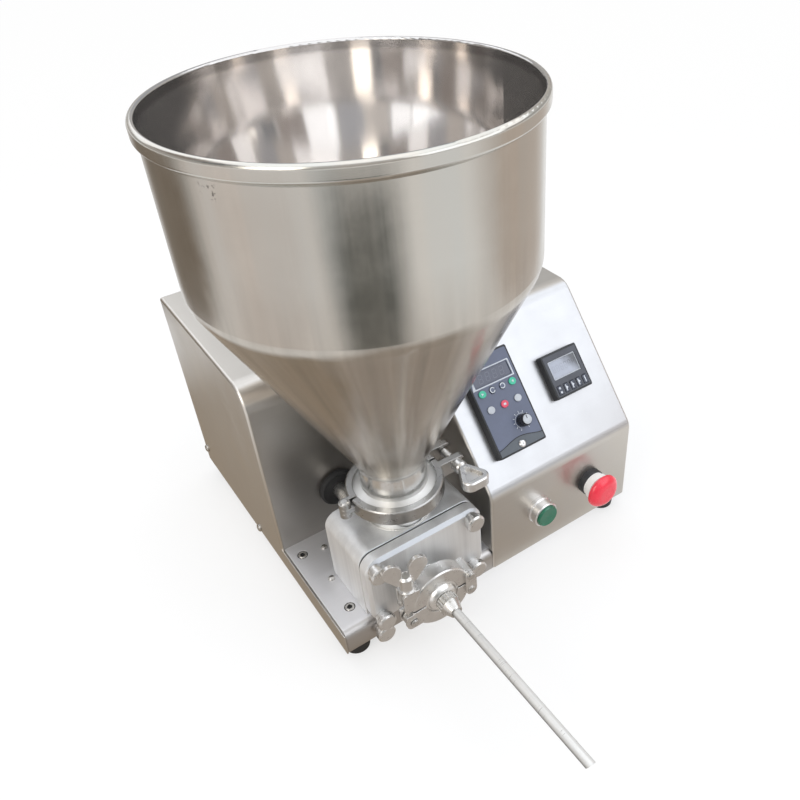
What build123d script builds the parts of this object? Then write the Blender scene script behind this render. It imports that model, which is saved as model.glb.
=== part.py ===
from build123d import *
import os
from math import acos, cos, hypot, pi, radians, sin, tan

# Millimetres. X to the right, Y to the back, Z up, seen from the operator's side.
# The origin is on the table, under the middle of the machine's overall box.

# Housing
HOUSING_W = 364.0
HOUSING_D = 361.0
HOUSING_TOP = 249.5
SHEET = 1.5
FOOT_H = 18.0
FOOT_R = 15.0
FOOT_INSET = 18.5
FOOT_TAPER = 2.0
FOOT_EDGE = 1.5
FOOT_RECESS_R = 4.5
FOOT_RECESS = 7.0
BASE_TOP = 44.0
BASE_SHEET = 2.0
BASE_BEND_R = 10.0
BASE_EDGE = 1.2
BASE_RIM = 44.0
SKIRT_GAP = 1.0
DRIVE_WALL_FROM_FRONT = 137.0
DRIVE_BEND_R = 26.0
BOX_FROM_LEFT = 175.0
PANEL_TOP_FROM_FRONT = 112.0
PANEL_FOOT_Z = 120.0
PANEL_TOP_BEND_R = 22.0
PANEL_FOOT_BEND_R = 18.0
EDGE_R = 3.0
REAR_FLANGE = 12.0
VENT_ROWS = 7
VENT_PITCH = 15.0
VENT_W = 110.0
VENT_H = 5.0
VENT_FROM_LEFT = 100.0
VENT_LIFT = 10.0

# Fasteners
SIDE_SCREW_FRONT = (204.5, 23.0)
SIDE_SCREW_REAR = (355.0, 39.0)
REAR_SCREW_LIFT = 24.0
PAN_R = 4.6
PAN_H = 2.6
PAN_SHANK_R = 2.4
PAN_SHANK = 7.0
CAP_R = 4.7
CAP_PROUD = 0.4
CAP_SUNK = 2.6
CAP_POCKET_R = 5.5
CAP_SHANK_R = 3.0
CAP_SOCKET_R = 2.9
CAP_SOCKET = 1.8
CAP_EDGE = 0.5
DECK_SHANK = 8.0
BOSS_R = 8.0
BOSS_DEEP = 5.5
DOME_R = 3.6
DOME_H = 2.4
DECK_CAPS = ((-73.0, 29.0), (-80.0, 118.5), (73.0, 29.0), (66.0, 118.5))
DECK_DOMES = ((-70.5, 71.5), (-57.0, 114.0), (70.5, 71.5), (57.0, 106.0))

# Hopper
HOPPER_FROM_LEFT = 95.0
HOPPER_FROM_FRONT = 43.0
HOPPER_T = 1.5
RIM_Z = 518.5
RIM_R = 140.0
RIM_FACE_H = 10.5
RIM_TAPER_H = 3.2
RIM_ROUND = 3.2
RIM_UNDER_ROUND = 3.0
RIM_INNER_ROUND = 1.8
WALL_R = 136.3
SHOULDER_Z = 392.5
SHOULDER_ROUND = 22.0
CONE_END_Z = 189.0
NECK_ROUND = 14.0

# Hygienic ferrule joints: a bevelled flange on each tube, a gasket and a hinged ring clamp
FLANGE_EDGE = 2.85
FLANGE_BEVEL = radians(20.0)
GASKET_HALF = 1.0
SEAT_GAP = 0.05
GROOVE_GAP = 0.3
INLET_TUBE_R = 31.75
INLET_FLANGE_R = 42.3
INLET_JOINT_Z = 155.0
INLET_RING_R = 46.5
INLET_RING_HALF = 8.0
INLET_LIP_R = 39.8
TUBE_WALL = 2.0
OUTLET_TUBE_R = 16.0
OUTLET_FLANGE_R = 25.25
OUTLET_RING_R = 32.0
OUTLET_RING_HALF = 8.0
OUTLET_LIP_R = 18.0
OUTLET_JOINT = 26.0
SPLIT_HALF = 1.2
CLAMP_CHAMFER = 1.2
LUG_ROUND = 3.0
SLOT_CLEAR = 0.5
KNUCKLE_GAP = 0.1

# Inlet clamp hardware
HINGE_X = -53.5
KNUCKLE_R = 5.5
PIN_R = 2.5
PIN_HEAD_R = 4.4
PIN_HEAD_H = 1.6
BOLT_R = 4.0
BOLT_GAP = 0.05
BOLT_HEAD_R = 6.5
BOLT_HEAD_H = 5.0
LUG_BOLT_X = 62.5
LUG_END_X = 70.5
LUG_T = 7.0
FRONT_LUG = 6.0
REAR_LUG = 11.0
HUB_R = 7.0
HUB_H = 9.0
HUB_TAPER = 2.0
LOOP_NEAR_R = 7.0
LOOP_FAR_R = 8.5
LOOP_L = 30.0
LOOP_W = 28.0
LOOP_T = 11.0
LOOP_WALL = 5.2
LOOP_POCKET_T = 3.4
LOOP_EDGE = 1.2

# Outlet clamp hardware
LINK_PIN_X = 31.5
LINK_PIN_Z = 9.5
LINK_BOSS_R = 6.0
LINK_T = 3.0
EYE_X = -32.0
EYE_Z = -14.0
EYE_R = 7.0
EYE_HALF = 3.5
TALL_LUG_IN = -23.0
TALL_LUG_OUT = -40.0
TALL_LUG_LOW = 3.0
TALL_LUG_HIGH = 27.0
LOW_LUG_END = 21.0
LUG_STEP = 0.5
TALL_LUG_ROUND = 2.5
WING_HUB_R = 7.0
WING_HUB_H = 19.0
WING_FLANGE = 1.5
WING_FLANGE_T = 2.0
WING_HUB_EDGE = 2.0
WING_W = 17.0
WING_T = 4.0
WING_IN = (4.5, 17.0)
WING_OUT = (13.5, 29.0)
WING_TURN = -10.0

# Pump
PUMP_W = 129.0
PUMP_BACK = 75.5
PUMP_SEAM = 10.0
PUMP_H = 82.0
PUMP_CORNER_R = 15.0
PUMP_FOOT_R = 3.0
COVER_T = 14.0
COVER_CHAMFER = 3.5
SEAM_CHAMFER = 0.6
GASKET_T = 1.6
SEAL_LAND = 1.0
STUD_LEFT = -55.5
STUD_RIGHT = 50.5
STUD_Z = 32.5
STUD_R = 4.0
STUD_IN = 22.0
STUD_CLEAR = 0.4
NUT_R = 9.5
NUT_H = 12.0
NUT_HUB_R = 7.2
NUT_HUB_H = 5.0
NUT_CHAMFER = 1.6
NUT_BORE = 9.0
LOCK_FROM_LEFT = 40.0
LOCK_Z = 27.0
SHAFT_Z = 95.0
SHAFT_R = 8.0
BUSH_R = 11.0
BUSH_FRONT = 8.0
BUSH_BACK = 17.0
SHAFT_SHORT = 1.0
OUTLET_FROM_AXIS = -4.0
OUTLET_Z = 69.5
OUTLET_PORT_R = 14.0
THROAT_HALF_X = 17.0
POCKET_HALF_X = 13.0
POCKET_LOW = 54.0
POCKET_DEEP = 24.0

# Pump gears
MODULE = 3.5
TEETH = 12
PRESSURE = radians(25.0)
ADDENDUM = 0.9 * MODULE
DEDENDUM = 1.2 * MODULE
BACKLASH = 0.4
GEAR_W = 41.0
SIDE_GAP = 0.3
TIP_GAP = 0.3

# Drive inside the housing
SEAL_R = 21.0
SEAL_T = 6.0
SEAL_NECK_R = 13.0
SEAL_NECK = 5.0
SEAL_EDGE = 2.0
SHAFT_CLEAR = 0.3
COUPLING_R = 19.0
COUPLING_FRONT = 152.0
COUPLING_L = 38.0
COUPLING_GAP = 4.0
COUPLING_WAIST = 3.0
STUB_L = 48.0
BRACKET_FRONT = 200.0
BRACKET_T = 6.0
BRACKET_W = 104.0
BRACKET_H = 104.0
BRACKET_FOOT = 34.0
BRACKET_HOLE_R = 24.0
RIB_FOOT = 30.0
RIB_TOP = 70.0
GEARBOX_HALF = 45.0
GEARBOX_L = 70.0
GEARBOX_ROUND = 8.0
MOTOR_R = 42.0
MOTOR_L = 74.0

# Nozzle
CAP_DOME_R = 15.5
CAP_DOME_H = 5.5
CAP_STUB_R = 7.5
CAP_STUB_END = 18.5
NOZZLE_R = 4.5
NOZZLE_ROOT_R = 4.4
NOZZLE_BORE_R = 3.5
NOZZLE_FLANGE_R = 6.8
NOZZLE_FLANGE_T = 2.0
NOZZLE_REACH = 241.0
NOZZLE_CUT = 30.0
COLLAR_R = 10.8
COLLAR_FLUTES = 18
FLUTE_R = 1.3
COLLAR_BACK = 13.2
COLLAR_GRIP_END = 21.5
COLLAR_END = 31.5
COLLAR_LIP = 1.0

# Speed controller, on the sloped panel, from its top right corner
CONTROLLER_U = -137.5
CONTROLLER_V = -89.0
CONTROLLER_W = 58.0
CONTROLLER_H = 104.0
CONTROLLER_PROUD = 10.0
CONTROLLER_DEEP = 40.0
CONTROLLER_NECK = 3.0
KEY_R = 3.2
KEY_PROUD = 1.2
KEY_SUNK = 1.6
KEY_POCKET = 2.6
KEY_GAP = 0.3
KEY_ROW_A = 14.6
KEY_PITCH_A = 12.35
KEY_ROW_B = -3.0
KEY_PITCH_B = 16.6
SCREEN_HALF_W = 22.0
SCREEN_LOW = 22.0
SCREEN_HIGH = 36.0
SCREEN_SUNK = 0.8
KNOB_U = 10.5
KNOB_V = -25.5
KNOB_R = 6.4
KNOB_H = 11.0
KNOB_SHAFT_R = 3.0
KNOB_SHAFT_L = 6.0
KNOB_FLUTES = 12
KNOB_FLUTE_R = 1.0
KNOB_CAP_H = 2.5
KNOB_CAP_IN = 1.2
KNOB_LIFT = 0.4
FACE_SCREW_V = -46.0
FACE_SCREW_R = 3.2
FACE_SCREW_H = 1.4
CASE_CORNER_R = 2.0
CASE_EDGE = 0.8
NECK_GAP = 0.2
KEY_EDGE = 0.4

# Counter, square, on the same panel
COUNTER_U = -53.3
COUNTER_V = -89.0
COUNTER_W = 48.0
COUNTER_PROUD = 8.5
COUNTER_NECK_W = 44.6
COUNTER_DEEP = 60.0
LCD_HALF_W = 18.0
LCD_LOW = -4.5
LCD_HIGH = 16.0
LCD_SUNK = 1.4
COUNTER_KEY_PITCH = 8.4
COUNTER_KEY_V = -15.5
COUNTER_KEY_W = 5.4
COUNTER_KEY_H = 9.0

# Push buttons on the front face of the control box
BUTTON_Z = 71.0
START_X = 235.5
ESTOP_X = 306.0
BUTTON_BODY_R = 11.0
BUTTON_BODY_L = 34.0
START_COLLAR_R = 15.2
START_COLLAR_H = 13.5
START_CAP_R = 12.2
START_CAP_LOW = 4.6
START_CAP_HIGH = 16.5
START_FLOOR = 1.0
START_STEM_R = 6.0
START_STEM_L = 12.0
BUTTON_GAP = 0.3
BUTTON_EDGE = 1.0
BUTTON_NUT_R = 14.5
BUTTON_NUT_T = 5.0
START_STEP = 3.5
START_DISH = 0.6
ESTOP_BASE_R = 15.0
ESTOP_FLANGE_H = 7.5
ESTOP_BAND_R = 13.5
ESTOP_BAND_H = 12.5
ESTOP_STEM_R = 8.0
ESTOP_STEM_L = 12.0
ESTOP_HEAD_R = 19.3
ESTOP_HEAD_LOW = 17.0
ESTOP_HEAD_HIGH = 30.0
ESTOP_UNDER = 4.0
ESTOP_RIM_LOW = 3.5
ESTOP_RIM_HIGH = 6.0

# Cable gland on the back
GLAND_FROM_LEFT = 300.0
GLAND_Z = 84.0
GLAND_BODY_R = 10.0
GLAND_HEX = 24.0
GLAND_BORE_R = 4.2
GLAND_DEEP = 10.0
GLAND_PROUD = 20.0
GLAND_HEX_T = 6.0
GLAND_NUT_T = 5.0
GLAND_CAP_R = 11.2
GLAND_CAP_END = 14.0
GLAND_TIP_R = 8.6

# Places worked out from the sizes above
LEFT = -(HOPPER_FROM_LEFT - RIM_R + HOUSING_W + PAN_H) / 2
RIGHT = LEFT + HOUSING_W
FRONT = -(HOUSING_D + GLAND_PROUD - NOZZLE_REACH) / 2
BACK = FRONT + HOUSING_D
DRIVE_WALL = FRONT + DRIVE_WALL_FROM_FRONT
BOX_LEFT = LEFT + BOX_FROM_LEFT
PANEL_TOP = FRONT + PANEL_TOP_FROM_FRONT
SKIRT_Z = FOOT_H + SKIRT_GAP
AXIS_X = LEFT + HOPPER_FROM_LEFT
AXIS_Y = FRONT + HOPPER_FROM_FRONT
PUMP_MID_Z = BASE_TOP + PUMP_H / 2
SEAM_Y = FRONT + PUMP_SEAM
COVER_BACK = SEAM_Y - GASKET_T
COVER_FRONT = COVER_BACK - COVER_T
PITCH_R = MODULE * TEETH / 2
TIP_R = PITCH_R + ADDENDUM
ROOT_R = PITCH_R - DEDENDUM
CHAMBER_R = TIP_R + TIP_GAP
CHAMBER_BACK = COVER_BACK + SIDE_GAP + GEAR_W + SIDE_GAP
DRIVE_X = AXIS_X - PITCH_R
IDLER_X = AXIS_X + PITCH_R
OUTLET_X = AXIS_X + OUTLET_FROM_AXIS
BUSH_BORE_R = SHAFT_R + BOLT_GAP

# Local frames: the sloped panel, the front of the control box, the two ferrule joints
PANEL_FRAME = Plane(
    origin=(RIGHT, PANEL_TOP, HOUSING_TOP),
    x_dir=(1, 0, 0),
    z_dir=(0, PANEL_FOOT_Z - HOUSING_TOP, PANEL_TOP_FROM_FRONT),
)
CONTROLLER_FRAME = PANEL_FRAME * Pos(CONTROLLER_U, CONTROLLER_V, 0)
COUNTER_FRAME = PANEL_FRAME * Pos(COUNTER_U, COUNTER_V, 0)
FORWARD = dict(x_dir=(1, 0, 0), z_dir=(0, -1, 0))
START_FRAME = Plane(origin=(LEFT + START_X, FRONT, BUTTON_Z), **FORWARD)
ESTOP_FRAME = Plane(origin=(LEFT + ESTOP_X, FRONT, BUTTON_Z), **FORWARD)
OUTLET_FRAME = Plane(origin=(OUTLET_X, FRONT - OUTLET_JOINT, OUTLET_Z), **FORWARD)
INLET_FRAME = Plane(origin=(AXIS_X, AXIS_Y, INLET_JOINT_Z))
FROM_BASE = (Align.CENTER, Align.CENTER, Align.MIN)


def block(x0, x1, y0, y1, z0, z1):
    """A box between two corners."""
    return Pos((x0 + x1) / 2, (y0 + y1) / 2, (z0 + z1) / 2) * Box(x1 - x0, y1 - y0, z1 - z0)


def rod(r, low, high, u=0.0, v=0.0):
    """A cylinder along the local Z axis."""
    return Pos(u, v, low) * Cylinder(r, high - low, align=FROM_BASE)


def rod_y(r, x, y0, y1, z):
    """A cylinder along Y."""
    return Plane(origin=(x, y1, z), **FORWARD) * rod(r, 0, y1 - y0)


def turned(points):
    """A solid of revolution about the local Z axis from (radius, height) points."""
    return revolve(Plane.XZ * make_face(Polyline(*points, close=True)), axis=Axis.Z)


def corner(face, x, y):
    """The vertex of a flat outline nearest to a point."""
    return face.vertices().sort_by_distance((x, y, 0))[0]


def along_x(face, x0, x1):
    """Extrudes an outline drawn in (Y, Z) between two X stations."""
    return extrude(Plane.YZ.offset(x0) * face, amount=x1 - x0)


def flange_half(tube_r, flange_r):
    """Height of a bevelled flange where it meets its tube."""
    return FLANGE_EDGE + (flange_r - tube_r) * tan(FLANGE_BEVEL)


def flange_points(tube_r, flange_r):
    """Outer outline of one bevelled flange, above the gasket, as (radius, height)."""
    return [
        (flange_r, GASKET_HALF),
        (flange_r, GASKET_HALF + FLANGE_EDGE),
        (tube_r, GASKET_HALF + flange_half(tube_r, flange_r)),
    ]


def clamp_void(flange_r, lip_r, half):
    """The space inside a ring clamp: the bevelled groove and the open lips."""
    lip_h = GASKET_HALF + FLANGE_EDGE + (flange_r - lip_r) * tan(FLANGE_BEVEL) + SEAT_GAP
    deep_r = flange_r + GROOVE_GAP
    deep_h = GASKET_HALF + FLANGE_EDGE - GROOVE_GAP * tan(FLANGE_BEVEL) + SEAT_GAP
    return turned(
        [
            (0, -half - 1),
            (lip_r, -half - 1),
            (lip_r, -lip_h),
            (deep_r, -deep_h),
            (deep_r, deep_h),
            (lip_r, lip_h),
            (lip_r, half + 1),
            (0, half + 1),
        ]
    )


# Housing


def drive_side_outline():
    """Side view of the tall drive housing, with its rolled front edge."""
    face = make_face(
        Polyline(
            (BACK, SKIRT_Z),
            (BACK, HOUSING_TOP),
            (DRIVE_WALL, HOUSING_TOP),
            (DRIVE_WALL, SKIRT_Z),
            close=True,
        )
    )
    return fillet(corner(face, DRIVE_WALL, HOUSING_TOP), DRIVE_BEND_R)


def control_side_outline():
    """Side view of the control box, with its sloped panel."""
    face = make_face(
        Polyline(
            (BACK, SKIRT_Z),
            (BACK, HOUSING_TOP),
            (PANEL_TOP, HOUSING_TOP),
            (FRONT, PANEL_FOOT_Z),
            (FRONT, SKIRT_Z),
            close=True,
        )
    )
    face = fillet(corner(face, PANEL_TOP, HOUSING_TOP), PANEL_TOP_BEND_R)
    return fillet(corner(face, FRONT, PANEL_FOOT_Z), PANEL_FOOT_BEND_R)


def side_screw_places():
    """Screws low on the two side walls: point and direction of the head."""
    places = []
    for from_front, z in (SIDE_SCREW_FRONT, SIDE_SCREW_REAR):
        y = FRONT + from_front
        places.append(Plane(origin=(LEFT, y, z), x_dir=(0, 1, 0), z_dir=(-1, 0, 0)))
        places.append(Plane(origin=(RIGHT, y, z), x_dir=(0, 1, 0), z_dir=(1, 0, 0)))
    return places


def rear_screw_places():
    """Screws round the edge of the rear panel."""
    mid_x = (LEFT + RIGHT) / 2
    inset = SHEET + REAR_FLANGE / 2
    places = []
    for x in (LEFT + inset, mid_x, RIGHT - inset):
        places.append(Plane(origin=(x, BACK, HOUSING_TOP - inset), x_dir=(1, 0, 0), z_dir=(0, 1, 0)))
    for x in (LEFT + inset, RIGHT - inset):
        places.append(Plane(origin=(x, BACK, BASE_TOP + REAR_SCREW_LIFT), x_dir=(1, 0, 0), z_dir=(0, 1, 0)))
    return places


def screw_holes(places):
    """Clearance holes for pan head screws."""
    return [place * rod(PAN_SHANK_R + BOLT_GAP, -PAN_SHANK - 1, 1) for place in places]


def rounded_sides(solid, stations):
    """Rounds the long edges of a housing at its side walls, but not at its foot or back."""
    edges = []
    for x in stations:
        wall = solid.faces().sort_by_distance((x, BACK - 50, HOUSING_TOP / 2))[0]
        for edge in wall.edges():
            if edge.center().Z > SKIRT_Z + 1 and edge.center().Y < BACK - 1:
                edges.append(edge)
    return fillet(edges, EDGE_R)


def hood():
    """Folded and welded stainless cover: drive housing and control box in one."""
    drive = drive_side_outline()
    control = control_side_outline()
    shell = rounded_sides(along_x(drive, LEFT, BOX_LEFT + 2 * EDGE_R), [LEFT])
    shell += rounded_sides(along_x(control, BOX_LEFT, RIGHT), [BOX_LEFT, RIGHT])
    inside = along_x(offset(drive, -SHEET), LEFT + SHEET, BOX_LEFT + SHEET + 1)
    inside += along_x(offset(control, -SHEET), BOX_LEFT + SHEET, RIGHT - SHEET)
    inside -= block(LEFT, RIGHT, BACK - 2 * SHEET, BACK + 1, 0, HOUSING_TOP)
    shell -= inside
    shell -= block(LEFT + SHEET, RIGHT - SHEET, FRONT + SHEET, BACK + 1, 0, BASE_TOP)
    shell -= block(LEFT + SHEET, RIGHT - SHEET, BACK - SHEET, BACK + 1, BASE_TOP, HOUSING_TOP - SHEET)
    shell -= block(
        LEFT + SHEET + REAR_FLANGE,
        RIGHT - SHEET - REAR_FLANGE,
        BACK - 3 * SHEET,
        BACK + 1,
        BASE_TOP,
        HOUSING_TOP - SHEET - REAR_FLANGE,
    )
    shell += block(LEFT, LEFT + SHEET, FRONT, DRIVE_WALL + 2 * EDGE_R, SKIRT_Z, BASE_TOP)
    neck_w = CONTROLLER_W - 2 * CONTROLLER_NECK
    neck_h = CONTROLLER_H - 2 * CONTROLLER_NECK
    shell -= CONTROLLER_FRAME * Box(neck_w, neck_h, 6 * SHEET)
    shell -= COUNTER_FRAME * Box(COUNTER_NECK_W, COUNTER_NECK_W, 6 * SHEET)
    for frame in (START_FRAME, ESTOP_FRAME):
        shell -= frame * rod(BUTTON_BODY_R + BOLT_GAP, -3 * SHEET, SHEET)
    shell -= rod_y(SEAL_NECK_R + BOLT_GAP, DRIVE_X, DRIVE_WALL - 1, DRIVE_WALL + 3, SHAFT_Z)
    return shell - screw_holes(side_screw_places() + rear_screw_places())


def base_outline(inset):
    """Side view of the base tray, with its rolled front edge."""
    front = FRONT + SHEET + inset
    top = BASE_TOP - inset
    face = make_face(
        Polyline(
            (BACK - inset, FOOT_H + inset),
            (BACK - inset, top),
            (front, top),
            (front, FOOT_H + inset),
            close=True,
        )
    )
    return fillet(corner(face, front, top), BASE_BEND_R - inset)


def base_screw_places():
    """Screws on the open deck round the pump: sunk caps and small domes."""
    return [[(AXIS_X + u, FRONT + v) for u, v in kind] for kind in (DECK_CAPS, DECK_DOMES)]


def foot_places():
    return [
        (x, y)
        for x in (LEFT + FOOT_INSET, RIGHT - FOOT_INSET)
        for y in (FRONT + FOOT_INSET, BACK - FOOT_INSET)
    ]


def base_tray():
    """Shallow box that everything stands on, open in the middle of its floor."""
    tray = along_x(base_outline(0), LEFT + SHEET, RIGHT - SHEET)
    tray = chamfer(tray.edges().filter_by(Axis.Y).group_by(Axis.Z)[-1], BASE_EDGE)
    tray -= along_x(base_outline(BASE_SHEET), LEFT + SHEET + BASE_SHEET, RIGHT - SHEET - BASE_SHEET)
    tray -= block(LEFT + BASE_RIM, RIGHT - BASE_RIM, FRONT + BASE_RIM, BACK - BASE_RIM, 0, BASE_TOP - 10)
    cap_places, dome_places = base_screw_places()
    for x, y in cap_places:
        tray += Pos(x, y, BASE_TOP) * rod(BOSS_R, -BOSS_DEEP, -BASE_SHEET)
        tray -= Pos(x, y, BASE_TOP) * rod(CAP_POCKET_R, -CAP_SUNK, 1)
    for x, y in cap_places + dome_places:
        tray -= Pos(x, y, BASE_TOP) * rod(CAP_SHANK_R + BOLT_GAP, -BOSS_DEEP - 1, 1)
    tray -= rod_y(STUD_R + 4 * BOLT_GAP, LEFT + LOCK_FROM_LEFT, FRONT, FRONT + 8, LOCK_Z)
    return tray - screw_holes(side_screw_places())


def rubber_feet():
    """Four tapered feet with a screw recess underneath."""
    foot = turned(
        [
            (FOOT_RECESS_R, 0),
            (FOOT_R - FOOT_TAPER - FOOT_EDGE, 0),
            (FOOT_R - FOOT_TAPER, FOOT_EDGE),
            (FOOT_R, FOOT_H),
            (0, FOOT_H),
            (0, FOOT_RECESS),
            (FOOT_RECESS_R, FOOT_RECESS),
        ]
    )
    return [Pos(x, y, 0) * foot for x, y in foot_places()]


def pan_screw():
    """Pan head screw, its head above the local XY plane."""
    return turned(
        [
            (0, -PAN_SHANK),
            (PAN_SHANK_R, -PAN_SHANK),
            (PAN_SHANK_R, 0),
            (PAN_R, 0),
            (PAN_R, PAN_H * 0.45),
            (PAN_R * 0.72, PAN_H * 0.9),
            (PAN_R * 0.35, PAN_H),
            (0, PAN_H),
        ]
    )


def casing_screws():
    return [place * pan_screw() for place in side_screw_places() + rear_screw_places()]


def base_screws():
    """Sunk socket cap screws and small dome screws on the deck."""
    cap = rod(CAP_R, -CAP_SUNK, CAP_PROUD) + rod(CAP_SHANK_R, -CAP_SUNK - DECK_SHANK, -CAP_SUNK)
    cap -= Pos(0, 0, CAP_PROUD - CAP_SOCKET) * extrude(RegularPolygon(CAP_SOCKET_R, 6), CAP_SUNK)
    cap = chamfer(cap.edges().group_by(Axis.Z)[-1].sort_by(SortBy.LENGTH)[-1], CAP_EDGE)
    dome = turned(
        [
            (0, -DECK_SHANK),
            (CAP_SHANK_R, -DECK_SHANK),
            (CAP_SHANK_R, 0),
            (DOME_R, 0),
            (DOME_R * 0.8, DOME_H * 2 / 3),
            (0, DOME_H),
        ]
    )
    cap_places, dome_places = base_screw_places()
    screws = [Pos(x, y, BASE_TOP) * cap for x, y in cap_places]
    return screws + [Pos(x, y, BASE_TOP) * dome for x, y in dome_places]


def rear_panel():
    """Flat back cover with rows of vent slots and the hole for the gland."""
    panel = block(LEFT + SHEET, RIGHT - SHEET, BACK - SHEET, BACK, BASE_TOP, HOUSING_TOP - SHEET)
    slot = extrude(SlotOverall(VENT_W, VENT_H), 3 * SHEET, both=True)
    low = (BASE_TOP + HOUSING_TOP) / 2 - VENT_PITCH * (VENT_ROWS - 1) / 2 + VENT_LIFT
    for row in range(VENT_ROWS):
        place = Plane(origin=(LEFT + VENT_FROM_LEFT, BACK, low + VENT_PITCH * row), **FORWARD)
        panel -= place * slot
    panel -= rod_y(GLAND_BODY_R + BOLT_GAP, LEFT + GLAND_FROM_LEFT, BACK - 5, BACK + 1, GLAND_Z)
    return panel - screw_holes(rear_screw_places())


def cable_gland():
    """Compression gland for the supply cord, screwed into the rear panel."""
    hexagon = RegularPolygon(GLAND_HEX / 2, 6, major_radius=False)
    gland = extrude(hexagon, GLAND_HEX_T) + rod(GLAND_BODY_R, -GLAND_DEEP, 0)
    gland += turned(
        [
            (0, GLAND_HEX_T),
            (GLAND_CAP_R, GLAND_HEX_T),
            (GLAND_CAP_R, GLAND_CAP_END),
            (GLAND_TIP_R, GLAND_PROUD),
            (0, GLAND_PROUD),
        ]
    )
    gland += Pos(0, 0, -SHEET - GLAND_NUT_T) * extrude(hexagon, GLAND_NUT_T)
    gland -= rod(GLAND_BORE_R, -GLAND_DEEP - 1, GLAND_PROUD + 1)
    frame = Plane(origin=(LEFT + GLAND_FROM_LEFT, BACK, GLAND_Z), x_dir=(-1, 0, 0), z_dir=(0, 1, 0))
    return frame * gland


# Pump


def gear_face(turn):
    """Spur gear outline with involute flanks, turned by an angle in degrees."""
    base_r = PITCH_R * cos(PRESSURE)
    half_pitch = pi / (2 * TEETH) - BACKLASH / (4 * PITCH_R)

    def flank(r, side):
        at = acos(min(1.0, base_r / r))
        angle = half_pitch + (tan(PRESSURE) - PRESSURE) - (tan(at) - at)
        return (r * cos(side * angle), r * sin(side * angle))

    foot_r = ROOT_R - 1.0
    mid_r = (base_r + TIP_R) / 2
    tooth = make_face(
        [
            Line(flank(foot_r, -1), flank(base_r, -1)),
            ThreePointArc(flank(base_r, -1), flank(mid_r, -1), flank(TIP_R, -1)),
            ThreePointArc(flank(TIP_R, -1), (TIP_R, 0), flank(TIP_R, 1)),
            ThreePointArc(flank(TIP_R, 1), flank(mid_r, 1), flank(base_r, 1)),
            Line(flank(base_r, 1), flank(foot_r, 1)),
            Line(flank(foot_r, 1), flank(foot_r, -1)),
        ]
    )
    face = Circle(ROOT_R)
    for index in range(TEETH):
        face += Rot(0, 0, turn + 360.0 * index / TEETH) * tooth
    return face


def gear_blank(x, turn):
    """A gear between the cover and the back of the chamber, on an axis along Y."""
    place = Plane(origin=(x, COVER_BACK + SIDE_GAP + GEAR_W, SHAFT_Z), **FORWARD)
    return place * extrude(gear_face(turn), GEAR_W)


def drive_gear():
    return gear_blank(DRIVE_X, 0) - rod_y(SHAFT_R + BOLT_GAP / 2, DRIVE_X, SEAM_Y - 5, SEAM_Y + 60, SHAFT_Z)


def idler_gear():
    """Driven gear with its shaft in one piece."""
    low = COVER_BACK - BUSH_FRONT + SHAFT_SHORT
    high = CHAMBER_BACK + BUSH_BACK - SHAFT_SHORT
    return gear_blank(IDLER_X, 180.0 / TEETH) + rod_y(SHAFT_R, IDLER_X, low, high, SHAFT_Z)


def drive_shaft():
    low = COVER_BACK - BUSH_FRONT + SHAFT_SHORT
    shaft = rod_y(SHAFT_R, DRIVE_X, low, FRONT + COUPLING_FRONT + COUPLING_L / 2, SHAFT_Z)
    return chamfer(shaft.edges().sort_by(Axis.Y)[0], SHAFT_SHORT)


def pump_bushes():
    """Plain bearings: a pair in the cover and a pair behind the chamber."""
    bushes = []
    for x in (DRIVE_X, IDLER_X):
        for low, high in ((COVER_BACK - BUSH_FRONT, COVER_BACK), (CHAMBER_BACK, CHAMBER_BACK + BUSH_BACK)):
            bush = rod_y(BUSH_R, x, low, high, SHAFT_Z) - rod_y(BUSH_BORE_R, x, low - 1, high + 1, SHAFT_Z)
            bushes.append(bush)
    return bushes


def stud_places():
    return [(AXIS_X + dx, PUMP_MID_Z + sz * STUD_Z) for sz in (1, -1) for dx in (STUD_LEFT, STUD_RIGHT)]


def pump_body():
    """Block with the figure-of-eight gear chamber, the throat and the outlet pocket."""
    section = make_face(
        Polyline(
            (-PUMP_W / 2, 0),
            (-PUMP_W / 2, PUMP_H),
            (PUMP_W / 2, PUMP_H),
            (PUMP_W / 2, 0),
            close=True,
        )
    )
    for side in (-1, 1):
        section = fillet(corner(section, side * PUMP_W / 2, PUMP_H), PUMP_CORNER_R)
        section = fillet(corner(section, side * PUMP_W / 2, 0), PUMP_FOOT_R)
    depth = PUMP_BACK - PUMP_SEAM
    body = Plane(origin=(AXIS_X, FRONT + PUMP_BACK, BASE_TOP), **FORWARD) * extrude(section, depth)
    body = chamfer(body.faces().sort_by(Axis.Y)[0].edges(), SEAM_CHAMFER)
    for x in (DRIVE_X, IDLER_X):
        body -= rod_y(CHAMBER_R, x, SEAM_Y - 1, CHAMBER_BACK, SHAFT_Z)
        body -= rod_y(BUSH_R + BOLT_GAP, x, SEAM_Y, CHAMBER_BACK + BUSH_BACK, SHAFT_Z)
    body -= rod_y(SHAFT_R + 1, DRIVE_X, SEAM_Y, FRONT + PUMP_BACK + 1, SHAFT_Z)
    body -= block(
        AXIS_X - THROAT_HALF_X,
        AXIS_X + THROAT_HALF_X,
        AXIS_Y - INLET_TUBE_R * 0.7,
        CHAMBER_BACK,
        SHAFT_Z,
        BASE_TOP + PUMP_H + 1,
    )
    body -= block(
        AXIS_X - POCKET_HALF_X,
        AXIS_X + POCKET_HALF_X,
        SEAM_Y - 1,
        SEAM_Y + POCKET_DEEP,
        POCKET_LOW,
        SHAFT_Z,
    )
    for x, z in stud_places():
        body -= rod_y(STUD_R + BOLT_GAP, x, SEAM_Y - 1, SEAM_Y + STUD_IN, z)
    return body


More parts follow.
